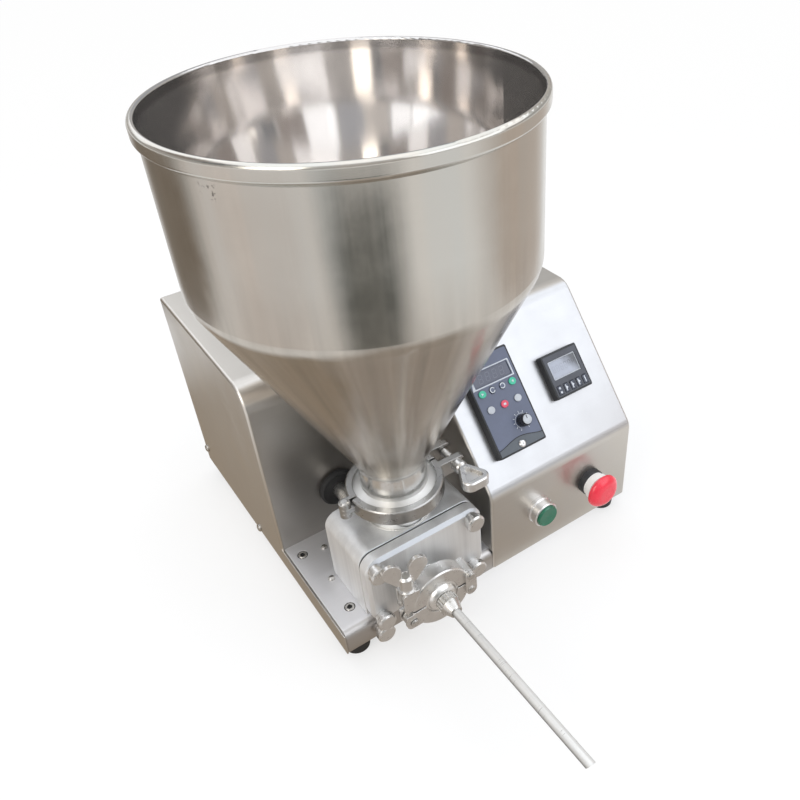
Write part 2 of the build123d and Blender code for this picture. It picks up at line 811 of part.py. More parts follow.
def cover_gasket():
    """Flat black seal between the body and its cover."""
    seal = RectangleRounded(PUMP_W - 2, PUMP_H - 2, PUMP_CORNER_R - 1)
    for x in (DRIVE_X, IDLER_X):
        seal -= Pos(x - AXIS_X, SHAFT_Z - PUMP_MID_Z) * Circle(CHAMBER_R + SEAL_LAND)
    seal -= Pos(OUTLET_FROM_AXIS, OUTLET_Z - PUMP_MID_Z) * Circle(OUTLET_PORT_R + SEAL_LAND)
    pocket_w = 2 * (POCKET_HALF_X + SEAL_LAND)
    pocket_h = SHAFT_Z - POCKET_LOW + SEAL_LAND
    seal -= Pos(0, SHAFT_Z - PUMP_MID_Z - pocket_h / 2) * Rectangle(pocket_w, pocket_h)
    frame = Plane(origin=(AXIS_X, SEAM_Y, PUMP_MID_Z), **FORWARD)
    gasket = frame * extrude(seal, GASKET_T)
    for x, z in stud_places():
        gasket -= rod_y(STUD_R + STUD_CLEAR, x, COVER_BACK - 1, SEAM_Y + 1, z)
    return gasket


def pump_cover():
    """Front plate with bearing pockets, stud holes and the outlet port."""
    frame = Plane(origin=(AXIS_X, COVER_BACK, PUMP_MID_Z), **FORWARD)
    plate = extrude(RectangleRounded(PUMP_W, PUMP_H, PUMP_CORNER_R), COVER_T)
    plate = chamfer(plate.faces().sort_by(Axis.Z)[-1].edges(), COVER_CHAMFER)
    plate = frame * chamfer(plate.faces().sort_by(Axis.Z)[0].edges(), SEAM_CHAMFER)
    for x in (DRIVE_X, IDLER_X):
        plate -= rod_y(BUSH_R + BOLT_GAP, x, COVER_BACK - BUSH_FRONT, COVER_BACK + 1, SHAFT_Z)
    for x, z in stud_places():
        plate -= rod_y(STUD_R + STUD_CLEAR, x, COVER_FRONT - 1, COVER_BACK + 1, z)
    return plate - rod_y(OUTLET_PORT_R, OUTLET_X, COVER_FRONT - 1, COVER_BACK + 1, OUTLET_Z)


def cover_studs():
    return [
        rod_y(STUD_R, x, COVER_FRONT - NUT_BORE + 1, SEAM_Y + STUD_IN, z)
        for x, z in stud_places()
    ]


def thumb_nut(bore):
    """Closed round hand nut on a narrower hub, seated on the local XY plane."""
    nut = turned(
        [
            (0, BOLT_GAP),
            (NUT_HUB_R, BOLT_GAP),
            (NUT_HUB_R, NUT_HUB_H),
            (NUT_R, NUT_HUB_H + 0.6),
            (NUT_R, NUT_H - NUT_CHAMFER),
            (NUT_R - NUT_CHAMFER, NUT_H),
            (0, NUT_H),
        ]
    )
    return nut - rod(STUD_R + BOLT_GAP, -1, bore) if bore else nut


def cover_nut(index):
    x, z = stud_places()[index]
    return Plane(origin=(x, COVER_FRONT, z), **FORWARD) * thumb_nut(NUT_BORE)


def lock_screw():
    """Hand screw on the front edge of the base."""
    frame = Plane(origin=(LEFT + LOCK_FROM_LEFT, FRONT + SHEET, LOCK_Z), **FORWARD)
    return frame * (thumb_nut(0) + rod(STUD_R, -12, BOLT_GAP + 1))


# Hopper and inlet joint


def inlet_ferrule():
    """Tube on top of the pump with the lower flange of the hopper joint."""
    bore = INLET_TUBE_R - TUBE_WALL
    foot = BASE_TOP + PUMP_H - INLET_JOINT_Z
    points = [(r, -h) for r, h in flange_points(INLET_TUBE_R, INLET_FLANGE_R)]
    return INLET_FRAME * turned([(bore, -GASKET_HALF)] + points + [(INLET_TUBE_R, foot), (bore, foot)])


def hopper_outline():
    """Half section of the hopper wall, as (radius, height)."""
    tube_bore = INLET_TUBE_R - TUBE_WALL
    joint = INLET_JOINT_Z
    slope = hypot(WALL_R - INLET_TUBE_R, SHOULDER_Z - CONE_END_Z)
    drop = HOPPER_T * slope / (SHOULDER_Z - CONE_END_Z)
    inner_low = CONE_END_Z + (drop - TUBE_WALL) * (SHOULDER_Z - CONE_END_Z) / (WALL_R - INLET_TUBE_R)
    inner_high = SHOULDER_Z + (drop - HOPPER_T) * (SHOULDER_Z - CONE_END_Z) / (WALL_R - INLET_TUBE_R)
    rim_low = RIM_Z - RIM_FACE_H
    outer = [(r, joint + h) for r, h in flange_points(INLET_TUBE_R, INLET_FLANGE_R)]
    outer += [(INLET_TUBE_R, CONE_END_Z), (WALL_R, SHOULDER_Z), (WALL_R, rim_low - RIM_TAPER_H)]
    outer += [(RIM_R, rim_low), (RIM_R, RIM_Z)]
    inner = [(WALL_R - HOPPER_T, RIM_Z), (WALL_R - HOPPER_T, inner_high)]
    inner += [(tube_bore, inner_low), (tube_bore, joint + GASKET_HALF)]
    face = make_face(Polyline(*outer, *inner, close=True))
    for r, z, radius in (
        (WALL_R, SHOULDER_Z, SHOULDER_ROUND),
        (WALL_R - HOPPER_T, inner_high, SHOULDER_ROUND - HOPPER_T),
        (INLET_TUBE_R, CONE_END_Z, NECK_ROUND),
        (tube_bore, inner_low, NECK_ROUND + TUBE_WALL),
        (RIM_R, rim_low, RIM_UNDER_ROUND),
        (RIM_R, RIM_Z, RIM_ROUND),
        (WALL_R - HOPPER_T, RIM_Z, RIM_INNER_ROUND),
    ):
        face = fillet(corner(face, r, z), radius)
    return face


def hopper():
    """Open cylinder with a rolled rim, a cone, a neck and the upper flange."""
    return Pos(AXIS_X, AXIS_Y, 0) * revolve(Plane.XZ * hopper_outline(), axis=Axis.Z)


def ferrule_gaskets():
    """Ring seals of the two ferrule joints."""
    rings = []
    for frame, flange_r, tube_r in (
        (INLET_FRAME, INLET_FLANGE_R, INLET_TUBE_R),
        (OUTLET_FRAME, OUTLET_FLANGE_R, OUTLET_TUBE_R),
    ):
        ring = rod(flange_r, -GASKET_HALF, GASKET_HALF) - rod(tube_r - TUBE_WALL, -2, 2)
        rings.append(frame * ring)
    return rings


def inlet_clamp_half(side):
    """Front (-1) or rear (1) half of the hopper clamp, with hinge knuckle and lug."""
    half = INLET_RING_HALF
    third = half / 3
    ring = rod(INLET_RING_R, -half, half)
    ring = chamfer(ring.edges(), CLAMP_CHAMFER)
    near, far = sorted((side * SPLIT_HALF, side * (INLET_RING_R + 1)))
    ring = ring & block(-INLET_RING_R - 1, INLET_RING_R + 1, near, far, -half - 1, half + 1)
    lug_in = FRONT_LUG if side < 0 else REAR_LUG
    near, far = sorted((side * lug_in, side * (lug_in + LUG_T)))
    lug = block(INLET_RING_R - 12, LUG_END_X, near, far, -half, half)
    lug = fillet(lug.edges().filter_by(Axis.Y).group_by(Axis.X)[-1], LUG_ROUND)
    lug -= block(LUG_BOLT_X, LUG_END_X + 1, near - 1, far + 1, -BOLT_R - SLOT_CLEAR, BOLT_R + SLOT_CLEAR)
    lug -= Plane(origin=(LUG_BOLT_X, far + 1, 0), **FORWARD) * rod(BOLT_R + SLOT_CLEAR, 0, LUG_T + 2)
    spans = [(-third, third)] if side < 0 else [(-half, -third - KNUCKLE_GAP), (third + KNUCKLE_GAP, half)]
    for low, high in spans:
        near, far = sorted((side * SPLIT_HALF, side * KNUCKLE_R))
        ring += rod(KNUCKLE_R, low, high, HINGE_X, 0)
        ring += block(HINGE_X, -INLET_RING_R + 4, near, far, low, high)
    ring += lug
    ring -= rod(PIN_R + BOLT_GAP, -half - 1, half + 1, HINGE_X, 0)
    return INLET_FRAME * (ring - clamp_void(INLET_FLANGE_R, INLET_LIP_R, half))


def rivet(half):
    """Hinge pin with a head at each end, centred on the local origin."""
    return turned(
        [
            (0, -half - PIN_HEAD_H),
            (PIN_HEAD_R * 0.7, -half - PIN_HEAD_H),
            (PIN_HEAD_R, -half - PIN_HEAD_H * 0.4),
            (PIN_HEAD_R, -half),
            (PIN_R, -half),
            (PIN_R, half),
            (PIN_HEAD_R, half),
            (PIN_HEAD_R, half + PIN_HEAD_H * 0.4),
            (PIN_HEAD_R * 0.7, half + PIN_HEAD_H),
            (0, half + PIN_HEAD_H),
        ]
    )


def clamp_pins():
    """The hinge pins of both clamps and the pivot of the outlet's eye bolt."""
    pins = [INLET_FRAME * Pos(HINGE_X, 0, 0) * rivet(INLET_RING_HALF)]
    link_half = OUTLET_RING_HALF + LINK_T
    for sign in (1, -1):
        pins.append(OUTLET_FRAME * Pos(LINK_PIN_X, sign * LINK_PIN_Z, 0) * rivet(link_half))
    pins.append(OUTLET_FRAME * Pos(EYE_X, EYE_Z, 0) * rivet(OUTLET_RING_HALF))
    return pins


def inlet_clamp_bolt():
    """Bolt through the two lugs, its hexagon head behind the rear lug."""
    frame = INLET_FRAME * Pos(LUG_BOLT_X, REAR_LUG + LUG_T, 0) * Rot(90, 0, 0)
    bolt = rod(BOLT_R, 0, FRONT_LUG + REAR_LUG + 2 * LUG_T + HUB_H - 2)
    head = extrude(RegularPolygon(BOLT_HEAD_R, 6, major_radius=False), -BOLT_HEAD_H)
    return frame * (bolt + head)


def loop_outline(inset):
    """Rounded triangle of the inlet nut's grip, narrow at the hub, drawn in by an inset."""
    circles = [Pos(LOOP_NEAR_R - LOOP_L / 2, 0) * Circle(LOOP_NEAR_R - inset)]
    for sign in (1, -1):
        far = Pos(LOOP_L / 2 - LOOP_FAR_R, sign * (LOOP_W / 2 - LOOP_FAR_R))
        circles.append(far * Circle(LOOP_FAR_R - inset))
    return make_hull([edge for one in circles for edge in one.edges()])


def inlet_wing_nut():
    """Cast nut with a flat three-cornered grip, sunk on both sides."""
    frame = INLET_FRAME * Pos(LUG_BOLT_X, -FRONT_LUG - LUG_T, 0) * Rot(90, 0, 0)
    hub = turned(
        [
            (0, BOLT_GAP),
            (HUB_R, BOLT_GAP),
            (HUB_R, HUB_H - HUB_TAPER),
            (HUB_R - HUB_TAPER, HUB_H + HUB_TAPER),
            (0, HUB_H + HUB_TAPER),
        ]
    )
    loop = extrude(loop_outline(0), LOOP_T / 2, both=True)
    loop = chamfer(loop.faces().filter_by(Axis.Z).edges(), LOOP_EDGE)
    pocket = extrude(loop_outline(LOOP_WALL), LOOP_POCKET_T, both=True)
    for sign in (1, -1):
        loop -= Pos(0, 0, sign * LOOP_T / 2) * pocket
    place = Plane(origin=(0, 0, HUB_H + LOOP_L / 2 - 1), x_dir=(0, 0, 1), z_dir=(0, 1, 0))
    return frame * (hub + place * loop - rod(BOLT_R + BOLT_GAP, -1, HUB_H - 1))


# Outlet joint and nozzle


def outlet_ferrule():
    """Short tube on the cover with the inner flange of the outlet joint."""
    bore = OUTLET_TUBE_R - TUBE_WALL
    foot = -(COVER_FRONT - (FRONT - OUTLET_JOINT))
    points = [(r, -h) for r, h in flange_points(OUTLET_TUBE_R, OUTLET_FLANGE_R)]
    return OUTLET_FRAME * turned([(bore, -GASKET_HALF)] + points + [(OUTLET_TUBE_R, foot), (bore, foot)])


def outlet_cap():
    """Flange with a domed front and a stub for the nozzle."""
    flange_top = GASKET_HALF + flange_half(CAP_DOME_R, OUTLET_FLANGE_R)
    dome_top = flange_top + CAP_DOME_H
    bore = NOZZLE_BORE_R
    outline = make_face(
        [
            Polyline((bore, GASKET_HALF), *flange_points(CAP_DOME_R, OUTLET_FLANGE_R)),
            ThreePointArc(
                (CAP_DOME_R, flange_top),
                (CAP_DOME_R * 0.86, flange_top + CAP_DOME_H * 0.62),
                (CAP_STUB_R, dome_top),
            ),
            Polyline(
                (CAP_STUB_R, dome_top),
                (CAP_STUB_R, CAP_STUB_END),
                (bore, CAP_STUB_END),
                (bore, GASKET_HALF),
            ),
        ]
    )
    return OUTLET_FRAME * revolve(Plane.XZ * outline, axis=Axis.Z)


def nozzle():
    """Long straight tube with a collar flange and an obliquely cut tip."""
    tip = NOZZLE_REACH - OUTLET_JOINT
    tube = rod(NOZZLE_ROOT_R, CAP_STUB_END, COLLAR_END + 1)
    tube += rod(NOZZLE_R, COLLAR_END + 1, tip)
    tube += rod(NOZZLE_FLANGE_R, CAP_STUB_END, CAP_STUB_END + NOZZLE_FLANGE_T)
    tube -= rod(NOZZLE_BORE_R, CAP_STUB_END - 1, tip + 1)
    reach = 4 * NOZZLE_R
    cut = Pos(0, NOZZLE_R, tip) * Rot(NOZZLE_CUT, 0, 0) * block(-reach, reach, -reach, reach, 0, reach)
    return OUTLET_FRAME * (tube - cut)


def nozzle_collar():
    """Fluted union nut with a tapered front, which holds the nozzle on the stub."""
    shoulder = CAP_STUB_END + NOZZLE_FLANGE_T + 0.1
    outline = Circle(COLLAR_R)
    for index in range(COLLAR_FLUTES):
        outline -= Rot(0, 0, 360.0 * index / COLLAR_FLUTES) * Pos(COLLAR_R + 0.5, 0) * Circle(FLUTE_R)
    grip = Pos(0, 0, COLLAR_BACK) * extrude(outline, COLLAR_GRIP_END - COLLAR_BACK)
    taper = turned(
        [
            (0, COLLAR_GRIP_END),
            (COLLAR_R - COLLAR_LIP, COLLAR_GRIP_END),
            (COLLAR_R - 2 * COLLAR_LIP, COLLAR_GRIP_END + 3 * COLLAR_LIP),
            (NOZZLE_R + 2 * COLLAR_LIP, COLLAR_END - COLLAR_LIP),
            (NOZZLE_R + COLLAR_LIP, COLLAR_END),
            (0, COLLAR_END),
        ]
    )
    collar = grip + taper - rod(CAP_STUB_R + BOLT_GAP, COLLAR_BACK - 1, shoulder)
    return OUTLET_FRAME * (collar - rod(NOZZLE_ROOT_R + 0.1, COLLAR_BACK, COLLAR_END + 1))


def outlet_clamp_half(side):
    """Upper (1) or lower (-1) half of the outlet clamp, with link boss and tall lug."""
    half = OUTLET_RING_HALF
    ring = chamfer(rod(OUTLET_RING_R, -half, half).edges(), CLAMP_CHAMFER)
    low, high = sorted((side * SPLIT_HALF, side * (OUTLET_RING_R + 1)))
    ring &= block(-OUTLET_RING_R - 1, OUTLET_RING_R + 1, low, high, -half - 1, half + 1)
    ring += rod(LINK_BOSS_R, -half, half, LINK_PIN_X, side * LINK_PIN_Z)
    far = TALL_LUG_HIGH if side > 0 else LOW_LUG_END
    low, high = sorted((side * TALL_LUG_LOW, side * far))
    lug = block(TALL_LUG_OUT, TALL_LUG_IN, low, high, -half + LUG_STEP, half - LUG_STEP)
    ends = lug.edges().filter_by(Axis.Z).group_by(Axis.X)[0].sort_by(Axis.Y)
    lug = fillet(ends[-1], TALL_LUG_ROUND)
    ends = lug.edges().filter_by(Axis.Z).group_by(Axis.X)[0].sort_by(Axis.Y)
    lug = fillet(ends[0], TALL_LUG_ROUND if side > 0 else EYE_R - SLOT_CLEAR)
    slot_half = BOLT_R + SLOT_CLEAR
    if side < 0:
        lug -= block(TALL_LUG_OUT - 1, EYE_X + EYE_R + 1, low - 1, high + 1, -slot_half, slot_half)
    ring += lug
    ring -= block(TALL_LUG_OUT - 1, EYE_X + slot_half, low - 9, high + 9, -slot_half, slot_half)
    ring -= rod(PIN_R + BOLT_GAP, -half - 1, half + 1, LINK_PIN_X, side * LINK_PIN_Z)
    if side < 0:
        ring -= rod(EYE_R + SLOT_CLEAR, -slot_half, slot_half, EYE_X, EYE_Z)
        ring -= rod(PIN_R + BOLT_GAP, -half - 1, half + 1, EYE_X, EYE_Z)
    return OUTLET_FRAME * (ring - clamp_void(OUTLET_FLANGE_R, OUTLET_LIP_R, half))


def outlet_clamp_links():
    """Pair of link plates that hinge the two halves together."""
    outline = Rot(0, 0, 90) * SlotCenterToCenter(2 * LINK_PIN_Z, 2 * LINK_BOSS_R)
    for sign in (1, -1):
        outline -= Pos(0, sign * LINK_PIN_Z) * Circle(PIN_R + BOLT_GAP)
    plate = extrude(outline, LINK_T)
    plate = OUTLET_FRAME * Pos(LINK_PIN_X, 0, OUTLET_RING_HALF) * plate
    back = Pos(0, 2 * OUTLET_RING_HALF + LINK_T, 0) * plate
    return [plate, back]


def outlet_clamp_bolt():
    """Eye bolt of the outlet clamp."""
    eye = rod(EYE_R, -EYE_HALF, EYE_HALF, EYE_X, EYE_Z)
    shank = Plane(origin=(EYE_X, EYE_Z, 0), x_dir=(1, 0, 0), z_dir=(0, 1, 0))
    bolt = eye + shank * rod(BOLT_R, 0, TALL_LUG_HIGH - EYE_Z + WING_HUB_H - 1)
    return OUTLET_FRAME * (bolt - rod(PIN_R + BOLT_GAP, -9, 9, EYE_X, EYE_Z))


def outlet_wing_nut():
    """Wing nut on top of the upper lug."""
    place = Plane(origin=(OUTLET_X + EYE_X, FRONT - OUTLET_JOINT, OUTLET_Z + TALL_LUG_HIGH))
    hub = turned(
        [
            (0, BOLT_GAP),
            (WING_HUB_R + WING_FLANGE, BOLT_GAP),
            (WING_HUB_R + WING_FLANGE, WING_FLANGE_T),
            (WING_HUB_R, WING_FLANGE_T),
            (WING_HUB_R, WING_HUB_H - WING_HUB_EDGE),
            (WING_HUB_R - WING_HUB_EDGE, WING_HUB_H),
            (0, WING_HUB_H),
        ]
    )
    for sign in (1, -1):
        line = Line((sign * WING_IN[0], WING_IN[1]), (sign * WING_OUT[0], WING_OUT[1]))
        wing = extrude(SlotArc(line, WING_W), WING_T / 2, both=True)
        hub += Rot(0, 0, WING_TURN) * Rot(90, 0, 0) * wing
    return place * (hub - rod(BOLT_R + BOLT_GAP, -1, 2 * WING_HUB_H))


# Drive


def shaft_seal():
    """Round black seal on the drive wall."""
    frame = Plane(origin=(DRIVE_X, DRIVE_WALL, SHAFT_Z), **FORWARD)
    ring = turned(
        [
            (SHAFT_R + SHAFT_CLEAR, -SEAL_NECK),
            (SEAL_NECK_R, -SEAL_NECK),
            (SEAL_NECK_R, 0),
            (SEAL_R, 0),
            (SEAL_R, SEAL_T - SEAL_EDGE),
            (SEAL_R - SEAL_EDGE, SEAL_T),
            (SHAFT_R + SHAFT_CLEAR, SEAL_T),
        ]
    )
    return frame * ring


def shaft_coupling():
    """Two-hub coupling with the stub that goes into the gearbox."""
    low = FRONT + COUPLING_FRONT
    high = low + COUPLING_L
    hub = rod_y(COUPLING_R, DRIVE_X, low, high, SHAFT_Z)
    middle = low + 2 * COUPLING_L / 3
    gap = rod_y(COUPLING_R + 1, DRIVE_X, middle - COUPLING_GAP / 2, middle + COUPLING_GAP / 2, SHAFT_Z)
    hub -= gap - rod_y(COUPLING_R - COUPLING_WAIST, DRIVE_X, low, high, SHAFT_Z)
    hub += rod_y(SHAFT_R, DRIVE_X, high, high + STUB_L, SHAFT_Z)
    return hub - rod_y(SHAFT_R + BOLT_GAP / 2, DRIVE_X, low - 1, low + COUPLING_L / 2, SHAFT_Z)


def motor_bracket():
    """Angle bracket that carries the gear motor on the base."""
    front = FRONT + BRACKET_FRONT
    half = BRACKET_W / 2
    plate = block(DRIVE_X - half, DRIVE_X + half, front, front + BRACKET_T, BASE_TOP, BASE_TOP + BRACKET_H)
    sole = front - BRACKET_FOOT
    plate += block(DRIVE_X - half, DRIVE_X + half, sole, front, BASE_TOP, BASE_TOP + BRACKET_T)
    rib = make_face(
        Polyline(
            (front, BASE_TOP + BRACKET_T),
            (front - RIB_FOOT, BASE_TOP + BRACKET_T),
            (front, BASE_TOP + RIB_TOP),
            close=True,
        )
    )
    for x in (DRIVE_X - half, DRIVE_X + half - BRACKET_T):
        plate += along_x(rib, x, x + BRACKET_T)
    return plate - rod_y(BRACKET_HOLE_R, DRIVE_X, front - 1, front + BRACKET_T + 1, SHAFT_Z)


def gear_motor():
    """Gearbox with a hollow output, the motor behind it and their bracket."""
    front = FRONT + BRACKET_FRONT + BRACKET_T
    back = front + GEARBOX_L
    case = block(
        DRIVE_X - GEARBOX_HALF,
        DRIVE_X + GEARBOX_HALF,
        front,
        back,
        SHAFT_Z - GEARBOX_HALF,
        SHAFT_Z + GEARBOX_HALF,
    )
    case = fillet(case.edges().filter_by(Axis.Y), GEARBOX_ROUND)
    case += rod_y(MOTOR_R, DRIVE_X, back, back + MOTOR_L, SHAFT_Z)
    case -= rod_y(SHAFT_R + BOLT_GAP, DRIVE_X, front - 1, front + STUB_L, SHAFT_Z)
    return [motor_bracket(), case]


# Controls


def controller_key_places():
    """Key centres on the controller's face: a row of four over a row of three."""
    places = [((column - 1.5) * KEY_PITCH_A, KEY_ROW_A) for column in range(4)]
    return places + [((column - 1) * KEY_PITCH_B, KEY_ROW_B) for column in range(3)]


def controller_case():
    """Speed controller: a shallow front box and the body behind the panel."""
    front = extrude(RectangleRounded(CONTROLLER_W, CONTROLLER_H, CASE_CORNER_R), CONTROLLER_PROUD)
    front = chamfer(front.faces().sort_by(Axis.Z)[-1].edges(), CASE_EDGE)
    neck_w = CONTROLLER_W - 2 * CONTROLLER_NECK - 2 * NECK_GAP
    neck_h = CONTROLLER_H - 2 * CONTROLLER_NECK - 2 * NECK_GAP
    case = front + Pos(0, 0, -CONTROLLER_DEEP / 2) * Box(neck_w, neck_h, CONTROLLER_DEEP)
    top = CONTROLLER_PROUD
    case -= block(-SCREEN_HALF_W, SCREEN_HALF_W, SCREEN_LOW, SCREEN_HIGH, top - SCREEN_SUNK, top + 1)
    for u, v in controller_key_places():
        case -= rod(KEY_R + KEY_GAP, top - KEY_POCKET, top + 1, u, v)
    case -= rod(KNOB_SHAFT_R + BOLT_GAP, top - KNOB_SHAFT_L - 0.5, top + 1, KNOB_U, KNOB_V)
    case += rod(FACE_SCREW_R, top, top + FACE_SCREW_H, 0, FACE_SCREW_V)
    return CONTROLLER_FRAME * case


def controller_key(index):
    u, v = controller_key_places()[index]
    top = CONTROLLER_PROUD
    key = rod(KEY_R, top - KEY_SUNK, top + KEY_PROUD, u, v)
    return CONTROLLER_FRAME * chamfer(key.edges().group_by(Axis.Z)[-1], KEY_EDGE)


def speed_knob():
    """Fluted knob with a plain cap, on its shaft."""
    low = CONTROLLER_PROUD + KNOB_LIFT
    outline = Circle(KNOB_R)
    for index in range(KNOB_FLUTES):
        flute = Pos(KNOB_R + KNOB_FLUTE_R / 2, 0) * Circle(KNOB_FLUTE_R)
        outline -= Rot(0, 0, 360.0 * index / KNOB_FLUTES) * flute
    knob = extrude(outline, KNOB_H - KNOB_CAP_H)
    knob += rod(KNOB_R - KNOB_CAP_IN, KNOB_H - KNOB_CAP_H, KNOB_H)
    knob = Pos(0, 0, low) * knob + rod(KNOB_SHAFT_R, CONTROLLER_PROUD - KNOB_SHAFT_L, low)
    return CONTROLLER_FRAME * Pos(KNOB_U, KNOB_V, 0) * knob


def counter_key_places():
    return [((column - 2) * COUNTER_KEY_PITCH, COUNTER_KEY_V) for column in range(5)]


def counter_case():
    """Square panel counter: bezel with a sunk display and a row of keys."""
    bezel = extrude(RectangleRounded(COUNTER_W, COUNTER_W, CASE_CORNER_R), COUNTER_PROUD)
    bezel = chamfer(bezel.faces().sort_by(Axis.Z)[-1].edges(), CASE_EDGE)
    neck = COUNTER_NECK_W - 2 * NECK_GAP
    case = bezel + Pos(0, 0, -COUNTER_DEEP / 2) * Box(neck, neck, COUNTER_DEEP)
    top = COUNTER_PROUD
    case -= block(-LCD_HALF_W, LCD_HALF_W, LCD_LOW, LCD_HIGH, top - LCD_SUNK, top + 1)
    for u, v in counter_key_places():
        pocket = Box(COUNTER_KEY_W + 2 * KEY_GAP, COUNTER_KEY_H + 2 * KEY_GAP, 2 * KEY_POCKET)
        case -= Pos(u, v, top) * pocket
    return COUNTER_FRAME * case


def counter_key(index):
    u, v = counter_key_places()[index]
    height = KEY_SUNK + KEY_PROUD
    key = Pos(0, 0, height / 2) * Box(COUNTER_KEY_W, COUNTER_KEY_H, height)
    key = chamfer(key.faces().sort_by(Axis.Z)[-1].edges(), KEY_EDGE)
    return COUNTER_FRAME * Pos(u, v, COUNTER_PROUD - KEY_SUNK) * key


def button_nut():
    """Lock nut of a push button, behind the sheet."""
    return rod(BUTTON_NUT_R, -SHEET - BUTTON_NUT_T, -SHEET) - rod(BUTTON_BODY_R, -BUTTON_BODY_L, 0)


def start_collar():
    """Bezel ring of the start button, with its threaded body and lock nut."""
    body = turned(
        [
            (START_STEM_R + BUTTON_GAP, -BUTTON_BODY_L),
            (BUTTON_BODY_R, -BUTTON_BODY_L),
            (BUTTON_BODY_R, 0),
            (START_COLLAR_R, 0),
            (START_COLLAR_R, START_STEP),
            (START_COLLAR_R - BUTTON_EDGE, START_STEP + BUTTON_EDGE),
            (START_COLLAR_R - BUTTON_EDGE, START_COLLAR_H - BUTTON_EDGE),
            (START_COLLAR_R - 2 * BUTTON_EDGE, START_COLLAR_H),
            (START_CAP_R + BUTTON_GAP, START_COLLAR_H),
            (START_CAP_R + BUTTON_GAP, START_FLOOR),
            (START_STEM_R + BUTTON_GAP, START_FLOOR),
        ]
    )
    return START_FRAME * (body + button_nut())


def start_cap():
    """Flat round push cap with its stem."""
    cap = turned(
        [
            (0, -START_STEM_L),
            (START_STEM_R, -START_STEM_L),
            (START_STEM_R, START_CAP_LOW),
            (START_CAP_R, START_CAP_LOW),
            (START_CAP_R, START_CAP_HIGH - BUTTON_EDGE),
            (START_CAP_R - BUTTON_EDGE, START_CAP_HIGH),
            (0, START_CAP_HIGH - START_DISH),
        ]
    )
    return START_FRAME * cap


def estop_base():
    """Flange, band and threaded body under the stop button."""
    bore = ESTOP_STEM_R + BUTTON_GAP
    body = turned(
        [
            (bore, -BUTTON_BODY_L),
            (BUTTON_BODY_R, -BUTTON_BODY_L),
            (BUTTON_BODY_R, 0),
            (ESTOP_BASE_R, 0),
            (ESTOP_BASE_R, ESTOP_FLANGE_H - BUTTON_EDGE),
            (ESTOP_BASE_R - BUTTON_EDGE, ESTOP_FLANGE_H),
            (ESTOP_BAND_R, ESTOP_FLANGE_H),
            (ESTOP_BAND_R, ESTOP_BAND_H),
            (bore, ESTOP_BAND_H),
        ]
    )
    return ESTOP_FRAME * (body + button_nut())


def estop_stem():
    """Plunger of the stop button, inside its base."""
    return ESTOP_FRAME * rod(ESTOP_STEM_R, -ESTOP_STEM_L, ESTOP_HEAD_LOW)


def estop_head():
    """Mushroom head that latches when pressed and is twisted to release."""
    rim = ESTOP_HEAD_R
    low = ESTOP_HEAD_LOW + 0.1
    outline = make_face(
        [
            Polyline(
                (0, low),
                (rim - ESTOP_UNDER, low),
                (rim, low + ESTOP_RIM_LOW),
                (rim, low + ESTOP_RIM_HIGH),
            ),
            ThreePointArc(
                (rim, low + ESTOP_RIM_HIGH),
                (rim * 0.78, ESTOP_HEAD_HIGH - 1.9),
                (rim * 0.4, ESTOP_HEAD_HIGH),
            ),
            Polyline((rim * 0.4, ESTOP_HEAD_HIGH), (0, ESTOP_HEAD_HIGH), (0, low)),
        ]
    )
    return ESTOP_FRAME * revolve(Plane.XZ * outline, axis=Axis.Z)


def write(name, shape):
    """Writes one node; a list of like solids becomes one group."""
    solid = Compound(children=shape) if isinstance(shape, list) else shape
    export_step(solid, f"parts/{name}.step")


def main():
    os.makedirs("parts", exist_ok=True)
    makers = (
        base_tray,
        rubber_feet,
        hood,
        rear_panel,
        casing_screws,
        base_screws,
        cable_gland,
        gear_motor,
        shaft_seal,
        shaft_coupling,
        drive_shaft,
        drive_gear,
        idler_gear,
        pump_bushes,
        pump_body,
        cover_gasket,
        pump_cover,
        cover_studs,
        lock_screw,
        inlet_ferrule,
        ferrule_gaskets,
        hopper,
        clamp_pins,
        inlet_clamp_bolt,
        inlet_wing_nut,
        outlet_ferrule,
        outlet_cap,
        nozzle,
        nozzle_collar,
        outlet_clamp_links,
        outlet_clamp_bolt,
        outlet_wing_nut,
        controller_case,
        speed_knob,
        counter_case,
        start_collar,
        start_cap,
        estop_base,
        estop_stem,
        estop_head,
    )
    for maker in makers:
        write(maker.__name__, maker())
    for index, place in enumerate(("top_left", "top_right", "bottom_left", "bottom_right")):
        write(f"cover_nut_{place}", cover_nut(index))
    for name, side in (("front", -1), ("rear", 1)):
        write(f"inlet_clamp_{name}", inlet_clamp_half(side))
    for name, side in (("upper", 1), ("lower", -1)):
        write(f"outlet_clamp_{name}", outlet_clamp_half(side))
    for index in range(len(controller_key_places())):
        write(f"controller_key_{index + 1}", controller_key(index))
    for index in range(len(counter_key_places())):
        write(f"counter_key_{index + 1}", counter_key(index))


if __name__ == "__main__":
    main()
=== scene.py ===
from math import cos, pi, radians, sin, tau

import bmesh
import bpy
from bpy.props import FloatProperty, FloatVectorProperty, IntProperty, PointerProperty
from mathutils import Matrix, Vector


